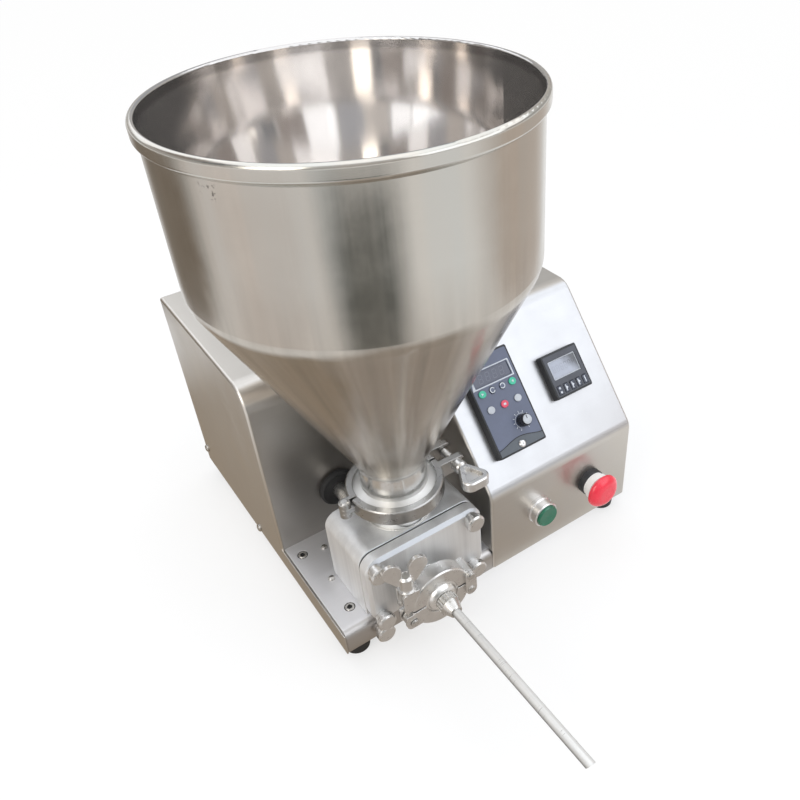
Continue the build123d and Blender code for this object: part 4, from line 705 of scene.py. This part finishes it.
class Shape:
    """Faces of one piece, drawn in millimetres on a placement in metres."""

    def __init__(self, place=None):
        self.mesh = bmesh.new()
        self.place = place

    def at(self, place):
        """Moves the drawing to another placement."""
        self.place = place
        return self

    def loop(self, outline, z):
        """A row of vertices at one height."""
        return [self.mesh.verts.new(self.place @ (MM * Vector((x, y, z)))) for x, y in outline]

    def turned(self, outline, steps):
        """Rows of vertices round the local Z axis, one for each (radius, height)."""
        return [self.loop(circle(r, steps if r else 1), z) for r, z in outline]

    def rows(self, rings, closed, capped=False):
        """Skins rows of vertices one after the other; a row of one vertex is a point."""
        count = max(len(ring) for ring in rings)
        pairs = list(zip(rings, rings[1:]))
        if closed:
            pairs.append((rings[-1], rings[0]))
        for low, high in pairs:
            for i in range(count):
                j = (i + 1) % count
                picked = [low[i % len(low)], low[j % len(low)]]
                picked += [high[j % len(high)], high[i % len(high)]]
                corners = list(dict.fromkeys(picked))
                if len(corners) > 2:
                    self.mesh.faces.new(corners)
        if capped:
            self.mesh.faces.new(rings[0])
            self.mesh.faces.new(rings[-1])
        return self

    def fill(self, loops):
        """Closes the flat area between an outer row of vertices and the holes in it."""
        edges = []
        for ring in loops:
            for a, b in zip(ring, ring[1:] + ring[:1]):
                edges.append(self.mesh.edges.get((a, b)) or self.mesh.edges.new((a, b)))
        bmesh.ops.triangle_fill(self.mesh, edges=edges, use_beauty=True)

    def lathe(self, outline, steps, closed=True):
        """Turns an outline of (radius, height) about the local Z axis."""
        return self.rows(self.turned(outline, steps), closed)

    def plate(self, outer, holes, low, high):
        """A flat plate with openings, between two heights."""
        lower = [self.loop(outline, low) for outline in (outer, *holes)]
        upper = [self.loop(outline, high) for outline in (outer, *holes)]
        for pair in zip(lower, upper):
            self.rows(pair, False)
        self.fill(lower)
        self.fill(upper)
        return self

    def prism(self, outline, low, high):
        """A solid plate between two heights."""
        return self.rows([self.loop(outline, z) for z in (low, high)], False, True)

    def dome(self, outline, low, high):
        """A low cushion on an outline about the origin, with a flat middle."""
        rings = []
        for inset, rise in ((1, 0), (1, 0.45), (0.93, 0.8), (0.8, 0.96), (0.66, 1)):
            shrunk = [(inset * x, inset * y) for x, y in outline]
            rings.append(self.loop(shrunk, low + (high - low) * rise))
        return self.rows(rings, False, True)

    def border(self, outer, inner, low, high):
        """A flat frame between two outlines of the same number of points."""
        loops = [(outer, low), (outer, high), (inner, high), (inner, low)]
        return self.rows([self.loop(outline, z) for outline, z in loops], True)

    def digits(self, bars, low, high, count, pitch, y, lean=0):
        """A row of display digits."""
        for column in range(count):
            x = (column - (count - 1) / 2) * pitch
            for bar in bars:
                self.prism(moved([(u + lean * v, v) for u, v in bar], x, y), low, high)
        return self

    def cross_screw(self, r, height):
        """A pan head with a cross recess, standing on the local XY plane."""
        shares = ((0, 0), (1, 0), (1, 0.4), (0.85, 0.78), (0.62, 1))
        rings = self.turned([(r * a, height * b) for a, b in shares], 32)
        self.rows(rings, False)
        arm, half = 0.48 * r, 0.11 * r
        cross = []
        for quarter in range(4):
            cross += moved([(half, half), (half, arm), (-half, arm)], 0, 0, quarter * pi / 2)
        upper, lower = self.loop(cross, height), self.loop(cross, 0.45 * height)
        self.rows([upper, lower], False)
        self.mesh.faces.new(lower)
        self.fill([rings[-1], upper])
        return self

    def across(self, turn, r, z=0):
        """A placement that stands across a ring round the local Z axis."""
        spin = self.place @ Matrix.Rotation(turn, 4, "Z")
        return spin @ shift(r, 0, z) @ Matrix.Rotation(pi / 2, 4, "X")

    def sweep(self, places, section, closed):
        """Carries a section of (x, y) along a row of placements."""
        rings = [self.at(place).loop(section, 0) for place in places]
        return self.rows(rings, closed, not closed)

    def weld(self, radius, ripples):
        """A weld bead round the local Z axis, with the small waves of its pools."""
        width = bpy.context.scene.filler_details.weld / MM
        steps = 4 * ripples
        places = []
        for i in range(steps):
            swell = width * (0.9 + 0.1 * cos(pi * i / 2))
            places.append(self.across(tau * i / steps, radius) @ Matrix.Scale(swell, 4))
        return self.sweep(places, circle(1, 10), True)

    def thread(self, radius, run):
        """A helical ridge on a bolt, from its local origin up along Z."""
        details = bpy.context.scene.filler_details
        pitch, depth = details.thread_pitch / MM, details.thread_depth / MM
        steps = 20
        count = int(run / pitch * steps)
        foot, crest, sunk = 0.42 * pitch, 0.06 * pitch, -0.02
        section = [(sunk, -foot), (depth, -crest), (depth, crest), (sunk, foot)]
        places = []
        for i in range(count + 1):
            fade = min(1, 8 * min(i, count - i) / count + 0.05)
            r = radius - depth * (1 - fade)
            places.append(self.across(tau * i / steps, r, pitch * i / steps))
        return self.sweep(places, section, False)

    def piece(self, name, finish, slot, body=BODY, sharp=35, stands_for=()):
        """Makes the object, and lets it ride on its body."""
        bmesh.ops.recalc_face_normals(self.mesh, faces=self.mesh.faces)
        data = bpy.data.meshes.new(name)
        self.mesh.to_mesh(data)
        self.mesh.free()
        data.materials.append(FINISHES[finish])
        data.shade_smooth()
        data.set_sharp_from_angle(angle=radians(sharp))
        made = bpy.data.objects.new(name, data)
        bpy.context.scene.collection.objects.link(made)
        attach(made, body)
        if stands_for:
            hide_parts(*stands_for)


# Operators, one for each piece or group of like pieces


class FILLER_OT_hopper(bpy.types.Operator):
    """Finishes the hopper and the tube joint under it"""

    bl_idname = "filler.hopper"
    bl_label = "Hopper"

    WELD_RADIUS, RIPPLES = 31.9, 70

    def execute(self, context):
        dress("spun_hopper", "hopper")
        dress("turned_ferrule", "inlet_ferrule")
        dress("pale_seal", "ferrule_gaskets")
        foot = middle("inlet_ferrule")
        foot.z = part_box("inlet_ferrule")[0].z
        bead = Shape(Matrix.Translation(foot)).weld(self.WELD_RADIUS, self.RIPPLES)
        bead.piece("inlet_weld", "weld_bead", "pump_steel", sharp=80)
        return {"FINISHED"}


class FILLER_OT_housing(bpy.types.Operator):
    """Finishes the folded housing, the base and the feet"""

    bl_idname = "filler.housing"
    bl_label = "Housing"

    # Places in millimetres: from the hopper's middle and the hood's front, from the hood's
    # front and the floor, and from the rear panel's sides and top and the floor
    DECK_SCREWS = ((-73, 29), (-80, 118.5), (73, 29), (66, 118.5))
    SIDE_SCREWS = ((204.5, 23), (355, 39))
    REAR_INSET, REAR_LOW = 7.5, 68
    # Radius and height of a pan head, section of the black ring of painted shadow round a deck
    # screw, and the dark disc of painted shade on the floor of its socket
    HEAD = (4.6, 2.6)
    RING = [(4.75, -1), (5.45, -1), (5.45, -0.35), (4.75, -0.35)]
    SOCKET_RADIUS, SOCKET_FLOOR = 2.85, (-1.39, -1.25)

    def execute(self, context):
        dress("brushed_sheet", "hood", "rear_panel")
        dress("folded_base", "base_tray")
        dress("black_rubber", "rubber_feet")
        dress("gland_moulding", "cable_gland")
        dress("plain_screw", "base_screws")
        self.deck_screws()
        self.casing_screws()
        return {"FINISHED"}

    def deck_screws(self):
        """Painted shadow at the sunk screws of the deck: black rings in the gaps round their heads,
        and dark discs of painted shade at the bottoms of their sockets.
        """
        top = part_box("base_tray")[1].z
        rings, socket_shadows = Shape(), Shape()
        for u, v in self.DECK_SCREWS:
            at = Matrix.Translation((middle("hopper").x + u * MM, HOOD_LOW.y + v * MM, top))
            rings.at(at).lathe(self.RING, 48)
            socket_shadows.at(at).prism(circle(self.SOCKET_RADIUS, 6), *self.SOCKET_FLOOR)
        # Both pieces are painted shadow, in the black of the rubber
        rings.piece("deck_screw_rings", "black_rubber", "rubber_black")
        socket_shadows.piece("deck_socket_floors", "black_rubber", "rubber_black")

    def casing_screws(self):
        """Pan heads with a cross recess on the side walls and the rear panel."""
        heads = Shape()
        low, high = HOOD_LOW, HOOD_HIGH
        for v, z in self.SIDE_SCREWS:
            for x, out in ((low.x, -RIGHT), (high.x, RIGHT)):
                at = (x, low.y + v * MM, z * MM)
                heads.at(looking(at, (0, out.x, 0), out)).cross_screw(*self.HEAD)
        inset = self.REAR_INSET * MM
        sides = (low.x + inset, high.x - inset)
        spots = [(x, high.z - inset) for x in (*sides, (low.x + high.x) / 2)]
        spots += [(x, self.REAR_LOW * MM) for x in sides]
        for x, z in spots:
            heads.at(looking((x, high.y, z), -RIGHT, -FRONT)).cross_screw(*self.HEAD)
        old = ("casing_screws",)
        heads.piece("casing_screw_heads", "plain_screw", "screw_steel", sharp=30, stands_for=old)


class FILLER_OT_pump(bpy.types.Operator):
    """Finishes the gear pump and its drive"""

    bl_idname = "filler.pump"
    bl_label = "Pump and drive"

    def execute(self, context):
        dress("milled_block", "pump_body", "pump_cover", "shaft_coupling")
        dress("milled_block", "drive_gear", "idler_gear")
        dress("black_rubber", "cover_gasket", "shaft_seal")
        dress("turned_tube", "drive_shaft")
        dress("bearing_metal", "pump_bushes")
        dress("motor_enamel", "gear_motor")
        dress("plain_screw", "cover_studs")
        places = ("top_left", "top_right", "bottom_left", "bottom_right")
        dress("polished_casting", "lock_screw", *[f"cover_nut_{place}" for place in places])
        return {"FINISHED"}


class FILLER_OT_clamps(bpy.types.Operator):
    """Finishes the two ring clamps with their bolts and wing nuts"""

    bl_idname = "filler.clamps"
    bl_label = "Ring clamps"

    BOLT_RADIUS = 4
    # Start and length of each thread: behind the hopper's middle, and above the bolt's foot
    INLET_START, INLET_RUN = 10.6, 16.2
    OUTLET_START, OUTLET_RUN = 14.4, 24

    def execute(self, context):
        dress("tumbled_casting", "inlet_clamp_front", "inlet_clamp_rear")
        dress("polished_casting", "outlet_clamp_upper", "outlet_clamp_lower", "outlet_clamp_links")
        dress("polished_casting", "inlet_wing_nut", "outlet_wing_nut")
        dress("plain_screw", "clamp_pins", "inlet_clamp_bolt", "outlet_clamp_bolt")
        inlet, outlet = middle("inlet_clamp_bolt"), middle("outlet_clamp_bolt")
        inlet.y = middle("hopper").y + self.INLET_START * MM
        outlet.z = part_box("outlet_clamp_bolt")[0].z + self.OUTLET_START * MM
        for name, run, place in (
            ("inlet_bolt_thread", self.INLET_RUN, looking(inlet, RIGHT, FRONT)),
            ("outlet_bolt_thread", self.OUTLET_RUN, Matrix.Translation(outlet)),
        ):
            thread = Shape(place).thread(self.BOLT_RADIUS, run)
            thread.piece(name, "plain_screw", "screw_steel", sharp=20)
        return {"FINISHED"}


class FILLER_OT_nozzle(bpy.types.Operator):
    """Finishes the outlet with its nozzle and union nut"""

    bl_idname = "filler.nozzle"
    bl_label = "Nozzle"

    WELD_RADIUS, RIPPLES = 16.1, 40

    def execute(self, context):
        dress("turned_tube", "outlet_ferrule", "outlet_cap")
        dress("plain_screw", "nozzle_collar")
        dress("satin_nozzle", "nozzle")
        root = middle("outlet_ferrule")
        root.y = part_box("outlet_ferrule")[1].y
        bead = Shape(looking(root, RIGHT, FRONT)).weld(self.WELD_RADIUS, self.RIPPLES)
        bead.piece("outlet_weld", "weld_bead", "pump_steel", sharp=80)
        return {"FINISHED"}


class FILLER_OT_controller(bpy.types.Operator):
    """Finishes the speed controller, its keys and its knob"""

    bl_idname = "filler.controller"
    bl_label = "Speed controller"

    # In millimetres: places from the middle of the case, and heights off the panel
    AT = (-137.5, -89)
    SIDE, END, CORNER = 26.8, 50, 1.6
    KEYS = [((column - 1.5) * 12.35, 14.6) for column in range(4)]
    KEYS += [((column - 1) * 16.6, -3) for column in range(3)]
    KNOB = (10.5, -25.5)
    SCREW = (0, -46)
    KNOB_HOLE, SCREW_HOLE, KEY_HOLE, HOLE_STEPS = 3.6, 3.45, 3.75, 32
    # Half width, foot, top and corner of the window's opening, its pane and the line round it
    OPENING, PANE = (22, 22, 36, 0.6), (21.8, 22.2, 35.8, 0.5)
    LINE = (24.4, 20, 38, 0.8), (22.9, 21.3, 36.8, 0.8)
    PANE_FLOOR, PANE_TOP = 9.2, 9.5
    CASE_TOP, FACE, COVER_TOP = 10, 10.25, 10.55
    CAP_FOOT, KEY_TOP, CAP_TOP = 10.95, 11.2, 11.6
    KNOB_TOP = 21.4
    # Radius and height of the screw's head, its seat and its turn in radians
    HEAD, SEAT, HEAD_TURN = (3.8, 2.2), 10.5, 0.5

    def execute(self, context):
        dress("case_moulding", "controller_case")
        dress("knob_moulding", "speed_knob")
        kinds = ("green_key", "printed_fascia", "printed_fascia", "green_key")
        kinds += ("pale_key", "red_key", "pale_key")
        for number, finish in enumerate(kinds, 1):
            dress(finish, f"controller_key_{number}")
        place = on_panel(*self.AT)
        self.front(place)
        self.display(place)
        self.keys(place)
        self.knob(place @ shift(*self.KNOB), context.scene.filler_details.tick / MM)
        return {"FINISHED"}

    def front(self, place):
        """The printed fascia, the arched cover at its foot and the bright screw in it."""
        side, end = self.SIDE, self.END
        boss = circle(self.SCREW_HOLE, self.HOLE_STEPS, *self.SCREW)
        holes = [rounded_box(*self.OPENING), circle(self.KNOB_HOLE, self.HOLE_STEPS, *self.KNOB)]
        holes += [boss, *[circle(self.KEY_HOLE, self.HOLE_STEPS, *key) for key in self.KEYS]]
        outer = rounded_box(side, -end, end, self.CORNER)
        fascia = Shape(place).plate(outer, holes, self.CASE_TOP, self.FACE)
        fascia.piece("controller_fascia", "printed_fascia", "case_black")
        spring, rise, fullness, steps = -43.6, 5.2, 1.6, 24
        ridge = [(side, spring)]
        for i in range(1, steps):
            lift = rise * sin(pi * i / steps) ** fullness
            ridge.append((side - 2 * side * i / steps, spring + lift))
        ridge.append((-side, spring))
        arch = [(side, -end), *ridge, (-side, -end)]
        cover = Shape(place).plate(arch, [boss], self.FACE, self.COVER_TOP)
        cover.piece("controller_cover", "fascia_cover", "case_black")
        above, below = 0.45, 0.35
        line = [(x, y + above) for x, y in ridge] + [(x, y - below) for x, y in reversed(ridge)]
        edge = Shape(place).prism(line, *ink(self.COVER_TOP))
        edge.piece("controller_cover_line", "knob_moulding", "case_black")
        head = place @ shift(*self.SCREW, self.SEAT) @ Matrix.Rotation(self.HEAD_TURN, 4, "Z")
        screw = Shape(head).cross_screw(*self.HEAD)
        screw.piece("controller_screw", "bright_screw", "screw_steel", sharp=30)

    def display(self, place):
        """The dark window with its unlit digits, and the line printed round it."""
        pane = Shape(place).prism(rounded_box(*self.PANE), self.PANE_FLOOR, self.PANE_TOP)
        pane.piece("controller_window", "controller_window", "case_black")
        bars = seven_bars(width=5.4, height=9.4, thick=1)
        digits = Shape(place).digits(bars, *ink(self.PANE_TOP), count=4, pitch=8.6, y=29, lean=0.12)
        digits.piece("controller_digits", "dim_segment", "case_black")
        line = Shape(place).border(*[rounded_box(*box) for box in self.LINE], *ink(self.FACE))
        wedge = [(-26.4, 20), (-24.4, 20), (-24.4, 28)]
        line.prism(wedge, *ink(self.FACE))
        line.piece("controller_window_print", "pale_print", "key_white")

    def keys(self, place):
        """Oval caps and marks on the keys, each riding on its own key."""
        radius, stretch = 3.8, 1.12
        oval = [(stretch * x, y) for x, y in circle(radius, 48)]
        for number, finish, slot in (
            (1, "green_key", "key_green"),
            (4, "green_key", "key_green"),
            (6, "red_key", "key_red"),
            (5, "pale_cap", "key_grey"),
            (7, "pale_cap", "key_grey"),
        ):
            at = place @ shift(*self.KEYS[number - 1])
            cap = Shape(at).dome(oval, self.CAP_FOOT, self.CAP_TOP)
            key = f"controller_key_{number}"
            cap.piece(f"controller_key_cap_{number}", finish, slot, key, sharp=60)
        arrow = [(-1.2, -1.4), (1.6, 0), (-1.2, 1.4)]
        gap = 0.35
        ring = arc_band(2, 3.1, gap, tau - gap, 30)
        for number, outline, turn, top in (
            (1, arrow, 0, self.CAP_TOP),
            (2, ring, 0, self.KEY_TOP),
            (3, ring, pi, self.KEY_TOP),
            (4, arrow, pi, self.CAP_TOP),
            (6, rounded_box(1.5, -1.1, 1.1, 0.4), 0, self.CAP_TOP),
        ):
            mark = Shape(place).prism(moved(outline, *self.KEYS[number - 1], turn), *ink(top))
            key = f"controller_key_{number}"
            mark.piece(f"controller_key_mark_{number}", "pale_print", "key_white", key)

    def knob(self, place, tick):
        """The pale cap of the speed knob with its pointer, and the scale round it."""
        top = self.KNOB_TOP
        outline = [(0, 0), (4.9, 0), (4.9, 0.35), (4.5, 0.6), (0, 0.7)]
        cap = Shape(place).lathe([(r, top + z) for r, z in outline], 48, False)
        cap.piece("speed_knob_cap", "pale_cap", "knob_black", "speed_knob")
        pointer = Shape(place).prism(strip(0.4, 0.8, 4.3), top + 0.4, top + 0.78)
        pointer.piece("speed_knob_pointer", "knob_moulding", "knob_black", "speed_knob")
        foot, first, step = 8.4, 150, 30
        mark = strip(0.32, foot, foot + tick)
        marks = [moved(mark, 0, 0, radians(first - step * i)) for i in range(11)]
        marks.append(arc_band(7.35, 7.85, radians(-60), radians(240), 60))
        scale = Shape(place)
        for outline in marks:
            scale.prism(outline, *ink(self.FACE))
        scale.piece("speed_knob_scale", "pale_print", "key_white")


class FILLER_OT_counter(bpy.types.Operator):
    """Finishes the square counter and its keys"""

    bl_idname = "filler.counter"
    bl_label = "Counter"

    # In millimetres: places from the middle of the case, and heights off the panel
    AT = (-53.3, -89)
    SIDE, CORNER = 21.8, 1.2
    KEYS = [((column - 2) * 8.4, -15.5) for column in range(5)]
    # Half width, foot, top and corner of the window's opening, pane and rim, and of a key's hole
    OPENING, PANE = (18, -4.5, 16, 0.5), (17.8, -4.3, 15.8, 0.4)
    RIM = (17.9, -4.4, 15.9, 0.4), (16.9, -3.4, 14.9, 0.4)
    KEY_HOLE = (3.1, -4.9, 4.9, 0.4)
    PANE_FLOOR, PANE_TOP, RIM_TOP = 7.1, 7.4, 7.9
    CASE_TOP, FACE, KEY_TOP = 8.5, 8.75, 9.7

    def execute(self, context):
        dress("case_moulding", "counter_case")
        dress("dark_key", *[f"counter_key_{number}" for number in range(1, 6)])
        place = on_panel(*self.AT)
        holes = [rounded_box(*self.OPENING)]
        holes += [moved(rounded_box(*self.KEY_HOLE), *key) for key in self.KEYS]
        outer = rounded_box(self.SIDE, -self.SIDE, self.SIDE, self.CORNER)
        front = Shape(place).plate(outer, holes, self.CASE_TOP, self.FACE)
        front.piece("counter_front", "counter_front", "case_black")
        pane = Shape(place).prism(rounded_box(*self.PANE), self.PANE_FLOOR, self.PANE_TOP)
        pane.piece("counter_window", "counter_window", "key_grey")
        edges = [rounded_box(*box) for box in self.RIM]
        rim = Shape(place).border(*edges, self.PANE_TOP, self.RIM_TOP)
        rim.piece("counter_window_rim", "pale_cap", "key_grey")
        bars = seven_bars(width=3.6, height=7.2, thick=0.65)
        digits = Shape(place).digits(bars, *ink(self.PANE_TOP), count=6, pitch=5.2, y=6.4)
        digits.piece("counter_digits", "faint_segment", "key_grey")
        self.marks(place)
        return {"FINISHED"}

    def marks(self, place):
        """White marks on the keys, each riding on its own key."""
        post = moved(strip(0.6, -3.4, 3.4), -0.7, 0)
        arrow = [(-0.1, -1.5), (1.7, 0.2), (-0.1, 1.9)]
        square = moved(strip(1.1, -1.1, 1.1), -0.1, 0)
        pair = [moved(square, 0, 2.2), moved(square, 0.2, -2.4)]
        kinds = [pair, *[[post, arrow]] * 3, [moved(post, 0.6, 0)]]
        for number, outlines in enumerate(kinds, 1):
            mark = Shape(place)
            for outline in outlines:
                mark.prism(moved(outline, *self.KEYS[number - 1]), *ink(self.KEY_TOP))
            key = f"counter_key_{number}"
            mark.piece(f"counter_key_mark_{number}", "pale_print", "key_white", key)


class FILLER_OT_buttons(bpy.types.Operator):
    """Finishes the start button and the stop button"""

    bl_idname = "filler.buttons"
    bl_label = "Push buttons"

    # Outlines of (radius, height off the front) in millimetres
    BAND = [(13.52, 7.6), (13.9, 7.6), (13.9, 12.3), (13.75, 12.45), (13.52, 12.45)]
    SLEEVE = [(14.05, 11.8), (15.1, 11.8), (15.25, 11.95), (15.25, 17), (14.05, 17)]

    def execute(self, context):
        dress("bright_collar", "start_collar")
        dress("start_moulding", "start_cap")
        dress("case_moulding", "estop_base")
        dress("pale_band", "estop_stem")
        dress("stop_moulding", "estop_head")
        centre = middle("estop_head")
        centre.y = HOOD_LOW.y
        place = looking(centre, RIGHT, FRONT)
        facets = context.scene.filler_details.facets
        band = Shape(place).lathe(self.BAND, facets)
        band.piece("stop_band", "pale_band", "key_white")
        sleeve = Shape(place).lathe(self.SLEEVE, facets)
        sleeve.piece("stop_sleeve", "pale_band", "key_white", "estop_stem")
        return {"FINISHED"}


class FILLER_OT_stage(bpy.types.Operator):
    """Makes the floor, the studio light and the camera"""

    bl_idname = "filler.stage"
    bl_label = "Stage"

    def execute(self, context):
        scene, stage = context.scene, context.scene.filler_stage
        self.floor(scene, stage)
        self.room(scene, stage)
        self.lamps(scene)
        self.boards(scene, stage)
        self.camera(scene, stage)
        scene.view_settings.view_transform = "Standard"
        return {"FINISHED"}

    def flat(self, scene, name, half, low, high):
        """A flat stage piece in its own XY plane, and the empty tree of its material."""
        data = bpy.data.meshes.new(name)
        data.from_pydata([(x, y, 0) for x, y in strip(half, low, high)], [], [(0, 1, 2, 3)])
        material = bpy.data.materials.new(name)
        data.materials.append(material)
        made = bpy.data.objects.new(name, data)
        scene.collection.objects.link(made)
        return made, cleared(material)

    def blend(self, wire, share, first, tone):
        """Ends a stage material: a share of its own light over another shader."""
        glow = wire.node("Emission", {"Color": (*tone, 1), "Strength": 1})
        wire.node("OutputMaterial", {0: wire.node("MixShader", {0: share, 1: first, 2: glow})})

    def floor(self, scene, stage):
        """A pale floor that keeps the machine's shadow and turns white further off."""
        half = stage.floor_size / 2
        wire = self.flat(scene, "floor", half, -half, half)[1]
        matt = wire.node("BsdfDiffuse", {"Color": (*stage.floor, 1)})
        kinds = ("Camera", "Glossy", "Transmission")
        rays = [wire.node("LightPath", out=f"Is {kind} Ray") for kind in kinds]
        seen = (rays[0] + rays[1] + rays[2]).clipped()
        place = wire.node("TexCoord", out="Object")
        away = wire.vector("LENGTH", place, out="Value").between(0.4, 1.6)
        white = 0.6 + away * 0.37
        self.blend(wire, seen * white, matt, (1, 1, 1))

    def room(self, scene, stage):
        """Light from all round, dimmer at the level of the floor."""
        scene.world = bpy.data.worlds.new("studio")
        wire = cleared(scene.world)
        height = wire.node("TexCoord", out="Generated").axes("Z")[0]
        shade = height.between(0, 0.9).tint(tuple(stage.haze), tuple(stage.sky))
        light = wire.node("Background", {"Color": shade, "Strength": 0.8})
        wire.node("OutputWorld", {"Surface": light})

    def lamps(self, scene):
        """Softboxes that look at the middle of the machine."""
        aim = Vector((0, 0, 0.2))
        cool, warm = (0.9, 0.94, 1), (1, 0.95, 0.87)
        for name, at, size, power, tint in (
            ("overhead_softbox", (0.1, 0.1, 2.4), (3.2, 3.2), 33, cool),
            ("left_softbox", (-2.2, -0.9, 1.5), (1.2, 1.8), 24, warm),
            ("panel_softbox", (1.1, -1.75, 1.5), (2.2, 1.5), 16, cool),
            ("right_softbox", (1.9, -0.4, 1.85), (0.9, 0.9), 3, cool),
            ("back_softbox", (-0.42, 2.1, 1.75), (1.5, 1.4), 7, cool),
        ):
            lamp = bpy.data.lights.new(name, "AREA")
            lamp.shape = "RECTANGLE"
            lamp.size, lamp.size_y = size
            lamp.energy = power
            lamp.color = tint
            holder = bpy.data.objects.new(name, lamp)
            holder.location = at
            holder.rotation_euler = (aim - Vector(at)).to_track_quat("-Z", "Y").to_euler()
            scene.collection.objects.link(holder)

    def boards(self, scene, stage):
        """Toned boards round the machine, with soft edges, seen only in its polished metal."""
        hopper = middle("hopper")
        for name, turn, away, lift, width, height, soft, tone in (
            ("dark_board", 8, 0.64, 0, 0.62, 0.36, 0.3, (0.15, 0.155, 0.145)),
            ("beige_board", -48, 0.66, 0, 1.1, 0.4, 0.3, (0.84, 0.785, 0.755)),
            ("brown_board", -110, 0.75, 0, 1.1, 0.45, 0.3, (0.25, 0.21, 0.17)),
            ("right_board", 108, 0.75, 0, 1.3, 0.45, 0.3, (0.68, 0.6, 0.54)),
            ("slate_panel", -66, 1, 0.85, 0.34, 0.65, 0.06, (0.2, 0.215, 0.235)),
            ("umber_panel", -97, 1, 0.85, 0.7, 0.65, 0.06, (0.37, 0.33, 0.31)),
            ("blue_panel", 181, 1, 0.85, 0.64, 0.65, 0.06, (0.5, 0.52, 0.56)),
            ("cream_panel", 145, 1, 0.85, 0.6, 0.65, 0.06, (0.74, 0.71, 0.68)),
        ):
            a = stage.azimuth + radians(turn)
            foot = Vector((hopper.x, hopper.y, lift)) + away * Vector((sin(a), -cos(a), 0))
            place = Matrix.Translation(foot) @ stand(a)
            self.board(scene, name, width, height, soft, tone, place)
        side = Matrix.Translation((HOOD_LOW.x - 0.06, -0.12, 0.001))
        self.board(scene, "side_board", 0.5, 0.76, 0.3, (0.4, 0.335, 0.265), side)
        front = Matrix.Translation((hopper.x - 0.01, HOOD_LOW.y - 0.015, 0.0015)) @ stand(pi, 0)
        self.board(scene, "front_board", 0.76, 0.55, 0.3, (0.5, 0.45, 0.405), front)

    def board(self, scene, name, width, height, edge, tone, place):
        """One board on its lower edge, which fades out at the other three."""
        made, wire = self.flat(scene, name, width / 2, 0, height)
        made.matrix_world = place
        for ray in ("camera", "diffuse", "transmission", "volume_scatter", "shadow"):
            setattr(made, f"visible_{ray}", False)
        u, v = wire.node("TexCoord", out="Generated").axes("XY")
        soft = u.between(0, edge) * (1 - u).between(0, edge)
        soft = soft * (1 - v).between(0, 0.8 * edge)
        self.blend(wire, soft, wire.node("BsdfTransparent"), tone)

    def camera(self, scene, stage):
        """The camera at the photograph's angle."""
        data = bpy.data.cameras.new("camera")
        data.sensor_width = 36
        data.lens = stage.lens
        data.shift_x = stage.shift
        data.clip_start = 0.01
        scene.camera = bpy.data.objects.new("camera", data)
        turn = stand(stage.azimuth, pi / 2 - stage.elevation) @ Matrix.Rotation(stage.roll, 4, "Z")
        scene.camera.matrix_world = Matrix.Translation(stage.camera_at) @ turn
        scene.collection.objects.link(scene.camera)


PIECES = (
    FILLER_OT_hopper,
    FILLER_OT_housing,
    FILLER_OT_pump,
    FILLER_OT_clamps,
    FILLER_OT_nozzle,
    FILLER_OT_controller,
    FILLER_OT_counter,
    FILLER_OT_buttons,
    FILLER_OT_stage,
)


class FILLER_PT_panel(bpy.types.Panel):
    """Lists the pieces of the machine"""

    bl_idname = "FILLER_PT_panel"
    bl_label = "Cream filling machine"
    bl_space_type = "VIEW_3D"
    bl_region_type = "UI"
    bl_category = "Filler"

    def draw(self, context):
        column = self.layout.column()
        for piece in PIECES:
            column.operator(piece.bl_idname)


GROUPS = {
    "filler_metals": FillerMetals,
    "filler_plastics": FillerPlastics,
    "filler_details": FillerDetails,
    "filler_stage": FillerStage,
}


def register():
    for name, group in GROUPS.items():
        bpy.utils.register_class(group)
        setattr(bpy.types.Scene, name, PointerProperty(type=group))
    for kind in (*PIECES, FILLER_PT_panel):
        bpy.utils.register_class(kind)


def unregister():
    for kind in (FILLER_PT_panel, *reversed(PIECES)):
        bpy.utils.unregister_class(kind)
    for name, group in GROUPS.items():
        delattr(bpy.types.Scene, name)
        bpy.utils.unregister_class(group)


def main():
    register()
    mix_finishes(bpy.context.scene)
    for piece in PIECES:
        family, name = piece.bl_idname.split(".")
        getattr(getattr(bpy.ops, family), name)()


if __name__ == "__main__":
    main()
